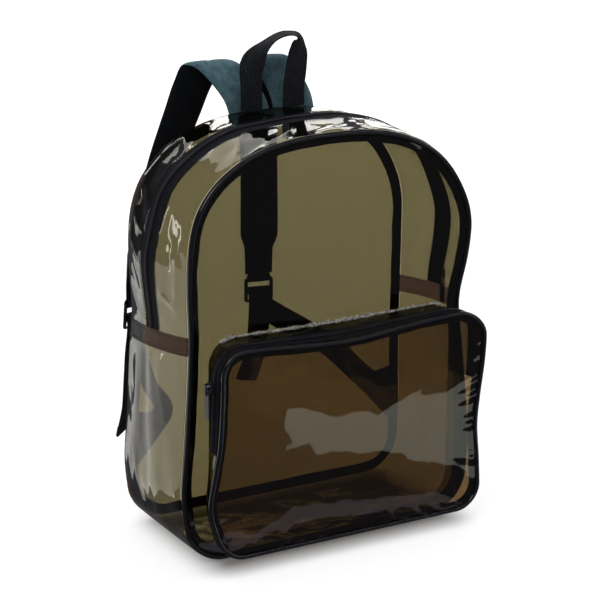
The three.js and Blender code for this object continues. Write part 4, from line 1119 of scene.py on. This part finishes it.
for name, sign in (("left", -1), ("right", 1)):
    pad_rows = [
        ((across * BAG_HALF, PAD_SEAT + behind * STRAP_REACH, up * BAG_HEIGHT + rise * STRAP_RISE),
         level(turn), width * PAD_WIDTH, thick * PAD_THICKNESS, square)
        for across, behind, up, rise, turn, square, width, thick in PAD_ROUTES[name]]
    frames = pad(f"strap_pad_{name}_foam", pad_rows, 70 + sign, f"strap_pad_{name}")
    sew_strap(f"strap_pad_{name}_stitches", frames, np.linspace(0.02, 0.97, 300), 0, 1, clear=-1.1)
    sew_strap(f"strap_pad_{name}_seam", frames, 0.62, np.linspace(-0.42, 0.42, 40), -1, clear=0.0)

    # The buckle's frame: across its bars, down towards the tail, and out away from the bag
    before, end = (np.array(row[0]) for row in pad_rows[-2:])
    down = unit(end - before)
    across = unit(pad_rows[-1][1] - down * (pad_rows[-1][1] @ down))
    out = np.cross(across, down)
    centre = end + down * (BUCKLE_TAB_LENGTH + BUCKLE_PITCH)
    at = lambda below, proud: centre + down * below + out * proud
    wrap = lambda bar, angles: [
        at(bar - WRAP * math.cos(a), WRAP * math.sin(a)) for a in map(math.radians, angles)]
    row = lambda spot, way=across, thick=1: (spot, way, WEBBING_WIDTH, thick * WEBBING_THICKNESS)

    tab_start = -BUCKLE_PITCH - BUCKLE_TAB_LENGTH + 2 * GAP
    tab_ply = (WEBBING_THICKNESS + GAP) / 2
    web(f"buckle_tab_{name}_webbing", [row(spot) for spot in (
        at(tab_start, -tab_ply), at(-BUCKLE_PITCH - WRAP, -TAIL_PLY),
        *wrap(-BUCKLE_PITCH, (-90, -135, 180, 135, 90)),
        at(-BUCKLE_PITCH - WRAP, TAIL_PLY), at(tab_start, tab_ply))], f"buckle_tab_{name}")

    # The webbing: up from the anchor, round the middle bar and down to the hem of its tail
    start, climb, cut_across = anchor(name, sign)
    entry = at(BUCKLE_PITCH + WRAP, -LOAD_PLY)
    span = np.array([0, 0, np.linalg.norm(entry - start)])
    length, tail = TAILS[name]
    lead = [at(below * BUCKLE_PITCH, -under * TAIL_PLY) for below, under in TAIL_LEAD]
    hang = [lead[-1] + length * np.array((aside, behind, -drop)) for aside, behind, drop in tail]
    hem_run = unit(hang[-1] - hang[-2])
    strap = web(f"strap_webbing_{name}_ribbon", [
        row(start + climb * 2 * GAP, cut_across),
        row(start + climb * WEBBING_WIDTH / 2 + np.array([0, BACK_DOME, 0]), cut_across),
        *(row(lerp(start, entry, part) + lift * span, lerp(cut_across, across, part))
          for part, lift in LOAD_ROUTES[name]),
        row(entry),
        row(at(BUCKLE_PITCH / 2, -LOAD_PLY)),
        *(row(spot) for spot in (*wrap(0, (-50, 0, 45, 90, 135, 180)), *lead, *hang)),
        row(hang[-1] + hem_run * GAP, across, 2),
        row(hang[-1] + hem_run * HEM_LENGTH, across, 2),
    ], f"strap_webbing_{name}")
    wide = np.linspace(-0.44, 0.44, 30)
    for index, stop in enumerate((0.972, 0.992)):
        sew_strap(f"strap_hem_{name}_stitches_{index}", strap, stop, wide, -1)

# Sewn-in ends of the handle and the pads, inside the top of the shell
SEWN_INSET = 5
SEWN_STEP = 12
HANDLE_PLY = 1.9
handle_legs = [(HANDLE_CENTRE + sign * HANDLE_SPACING / 2, WEBBING_WIDTH) for sign in (-1, 1)]
pad_roots = [(route[0][0] * BAG_HALF, PAD_WIDTH * 0.9) for route in PAD_ROUTES.values()]
for index, (x, width) in enumerate(handle_legs + pad_roots):
    top = arch_top(abs(x) + width / 2) - SEWN_INSET
    behind = BAG_DEPTH / 2 - SEWN_INSET - HANDLE_PLY * (index < 2)
    web(f"sewn_end_{index}", [
        ((x, behind - step, top - SEWN_STEP * step), level(0), width, WEBBING_THICKNESS)
        for step in range(3)])


# Floor, camera and lights, in metres
FLOOR_HALF = 6
FLOOR_DROP = 0.0006
FLOOR_COLOUR = (0.36, 0.36, 0.36, 1)
# The floor's glow is masked out over a box under the bag, set by SHADE_BACK, SHADE_HALF and
# SHADE_EDGE, which paints the bag's shadow there.
SHADE_BACK = -0.014
SHADE_HALF = (0.13, 0.066)
SHADE_EDGE = (-0.014, 0.046)
NEAR_GLOW = 0.72
FAR_EDGE = (0.9, 2.2)
FAR_GLOW = 0.3


def stage_plane(name, corners, finish, **visible):
    mesh = bpy.data.meshes.new(name)
    mesh.from_pydata(corners, [], [(0, 1, 2, 3)])
    made = bpy.data.objects.new(name, mesh)
    mesh.materials.append(finish)
    bpy.context.scene.collection.objects.link(made)
    for way, value in visible.items():
        setattr(made, f"visible_{way}", value)
    return made


def floor_finish():
    """A pale floor that glows, with a painted shadow: the glow is masked out under the bag, so it is
    dark there, and it rises further out to white.
    """
    made, tree = material("floor_painted_shadow")
    place = node(tree, "TexCoord").outputs["Object"]
    x, y, _ = node(tree, "SeparateXYZ", {0: place}).outputs
    maths = lambda operation, *values: node(
        tree, "Math", dict(enumerate(values)), operation=operation).outputs[0]
    past = lambda value, half: maths(
        "MAXIMUM", maths("SUBTRACT", maths("ABSOLUTE", value), half), 0)
    square = lambda value: maths("MULTIPLY", value, value)
    glow = lambda value, edge, high, **settings: node(tree, "MapRange", {
        "Value": value, "From Min": edge[0], "From Max": edge[1], "To Max": high,
    }, **settings).outputs[0]
    # Painted shadow: the glow is 0 inside the box under the bag and rises to NEAR_GLOW outside it.
    aside, before = past(x, SHADE_HALF[0]), past(maths("SUBTRACT", y, SHADE_BACK), SHADE_HALF[1])
    apart = maths("SQRT", maths("ADD", square(aside), square(before)))
    shadow_masked_glow = glow(apart, SHADE_EDGE, NEAR_GLOW, interpolation_type="SMOOTHSTEP")
    length = node(tree, "VectorMath", {0: place}, operation="LENGTH").outputs["Value"]
    strength = maths("ADD", shadow_masked_glow, glow(length, FAR_EDGE, FAR_GLOW))
    lit = node(tree, "BsdfDiffuse", {"Color": FLOOR_COLOUR})
    shine = node(tree, "Emission", {"Color": (1, 1, 1, 1), "Strength": strength})
    surface(tree, node(tree, "AddShader", {0: lit.outputs[0], 1: shine.outputs[0]}))
    return made


def glow_finish(name, strength, colour):
    made, tree = material(name)
    surface(tree, node(tree, "Emission", {"Color": (*colour, 1), "Strength": strength}))
    return made


SQUARE = ((-1, -1), (1, -1), (1, 1), (-1, 1))
stage_plane("floor", [(i * FLOOR_HALF, j * FLOOR_HALF, -FLOOR_DROP) for i, j in SQUARE],
            floor_finish(), glossy=False)


def direction(azimuth, elevation):
    """Away from the bag, in degrees right of the front and up."""
    side, rise = math.radians(azimuth), math.radians(elevation)
    flat = math.cos(rise)
    return Vector((math.sin(side) * flat, -math.cos(side) * flat, math.sin(rise)))


def card(name, centre, towards, width, height, strength, colour=(1, 1, 1)):
    """A bright panel that only shows as a reflection."""
    centre = Vector(centre)
    facing = (Vector(towards) - centre).to_track_quat("-Z", "Y")
    right, up = facing @ Vector((1, 0, 0)), facing @ Vector((0, 1, 0))
    corners = [centre + right * (i * width / 2) + up * (j * height / 2) for i, j in SQUARE]
    stage_plane(name, corners, glow_finish(name, strength, colour), camera=False,
                diffuse=False, shadow=False, transmission=False)


POCKET_SPOT = Vector((0, -0.12, 0.13))
BAND_REACH = 1.3


def band(name, azimuth, elevation, wide, high, strength, colour=(1, 1, 1)):
    """A card as it is seen from the pocket, with its place and size in degrees."""
    size = [2 * BAND_REACH * math.tan(math.radians(angle / 2)) for angle in (wide, high)]
    centre = POCKET_SPOT + direction(azimuth, elevation) * BAND_REACH
    card(name, centre, POCKET_SPOT, *size, strength, colour)


def lamp(name, place, towards, size, power, glossy=True):
    """A soft square light that the camera doesn't see."""
    light = bpy.data.lights.new(name, "AREA")
    light.size = size
    light.energy = power
    made = bpy.data.objects.new(name, light)
    made.location = place
    made.rotation_mode = "QUATERNION"
    made.rotation_quaternion = (Vector(towards) - Vector(place)).to_track_quat("-Z", "Y")
    bpy.context.scene.collection.objects.link(made)
    made.visible_camera = False
    made.visible_glossy = glossy


# Lamps have a place, a target, a size and a power in watts
MIDDLE = (0, 0, 0.2)
lamp("overhead", (0, 0, 2.4), (0, 0, 0), 4.0, 84, glossy=False)
lamp("key", (-1.6, -1.5, 1.9), MIDDLE, 1.0, 18)
lamp("fill", (1.9, -1.2, 1.0), MIDDLE, 1.2, 6)
lamp("back", (0.4, 1.9, 1.7), MIDDLE, 1.4, 10)

# Cards have a place, a target, a width, a height and a strength, and bands are placed by angles
CROWN = (0, 0, 0.4)
card("backdrop_low", (1.3, 2.4, 0.55), CROWN, 2.4, 0.55, 3.2)
card("backdrop_high", (1.3, 2.3, 1.4), CROWN, 2.4, 0.5, 3.2)
card("left_floor", (-0.95, 0.95, -0.01), (-0.95, 0.95, 1), 1.5, 1.7, 1.35)
band("pocket_glare", 40, -19.5, 40, 4, 1.6, (0.86, 1, 0.96))
band("pocket_glow", 36, -38, 50, 6, 0.6, (0.85, 0.82, 1))
band("right_strip", 84, -10, 14, 50, 2.0)
band("edge_light", -10, 48, 90, 2, 18)
card("left_streak", (-1.08, 1.06, 0), (-0.17, 0, 0.2), 0.05, 1.2, 7)

# The world is white to the camera and dim to everything else
world = bpy.data.worlds.new("studio")
bpy.context.scene.world = world
world.use_nodes = True
tree = world.node_tree
tree.nodes.clear()
seen = node(tree, "LightPath").outputs["Is Camera Ray"]
dim, white = (node(tree, "Background", {"Color": (*colour, 1), "Strength": 1.0}).outputs[0]
              for colour in ((0.1, 0.1, 0.115), (1, 1, 1)))
shown = node(tree, "MixShader", {0: seen, 1: dim, 2: white}).outputs[0]
node(tree, "OutputWorld", {"Surface": shown})
bpy.context.scene.view_settings.view_transform = "Standard"

TARGET = Vector((0, 0, 0.215))
AZIMUTH, ELEVATION = -29.53, 17.24
DISTANCE = 2.17843
camera_data = bpy.data.cameras.new("camera")
camera_data.sensor_width = 36
camera_data.lens = 124.63
camera_data.shift_x = 0.0029
camera_data.shift_y = 0.0387
camera = bpy.data.objects.new("camera", camera_data)
away = direction(AZIMUTH, ELEVATION)
camera.location = TARGET + away * DISTANCE
camera.rotation_mode = "QUATERNION"
camera.rotation_quaternion = (-away).to_track_quat("-Z", "Y")
bpy.context.scene.collection.objects.link(camera)
bpy.context.scene.camera = camera
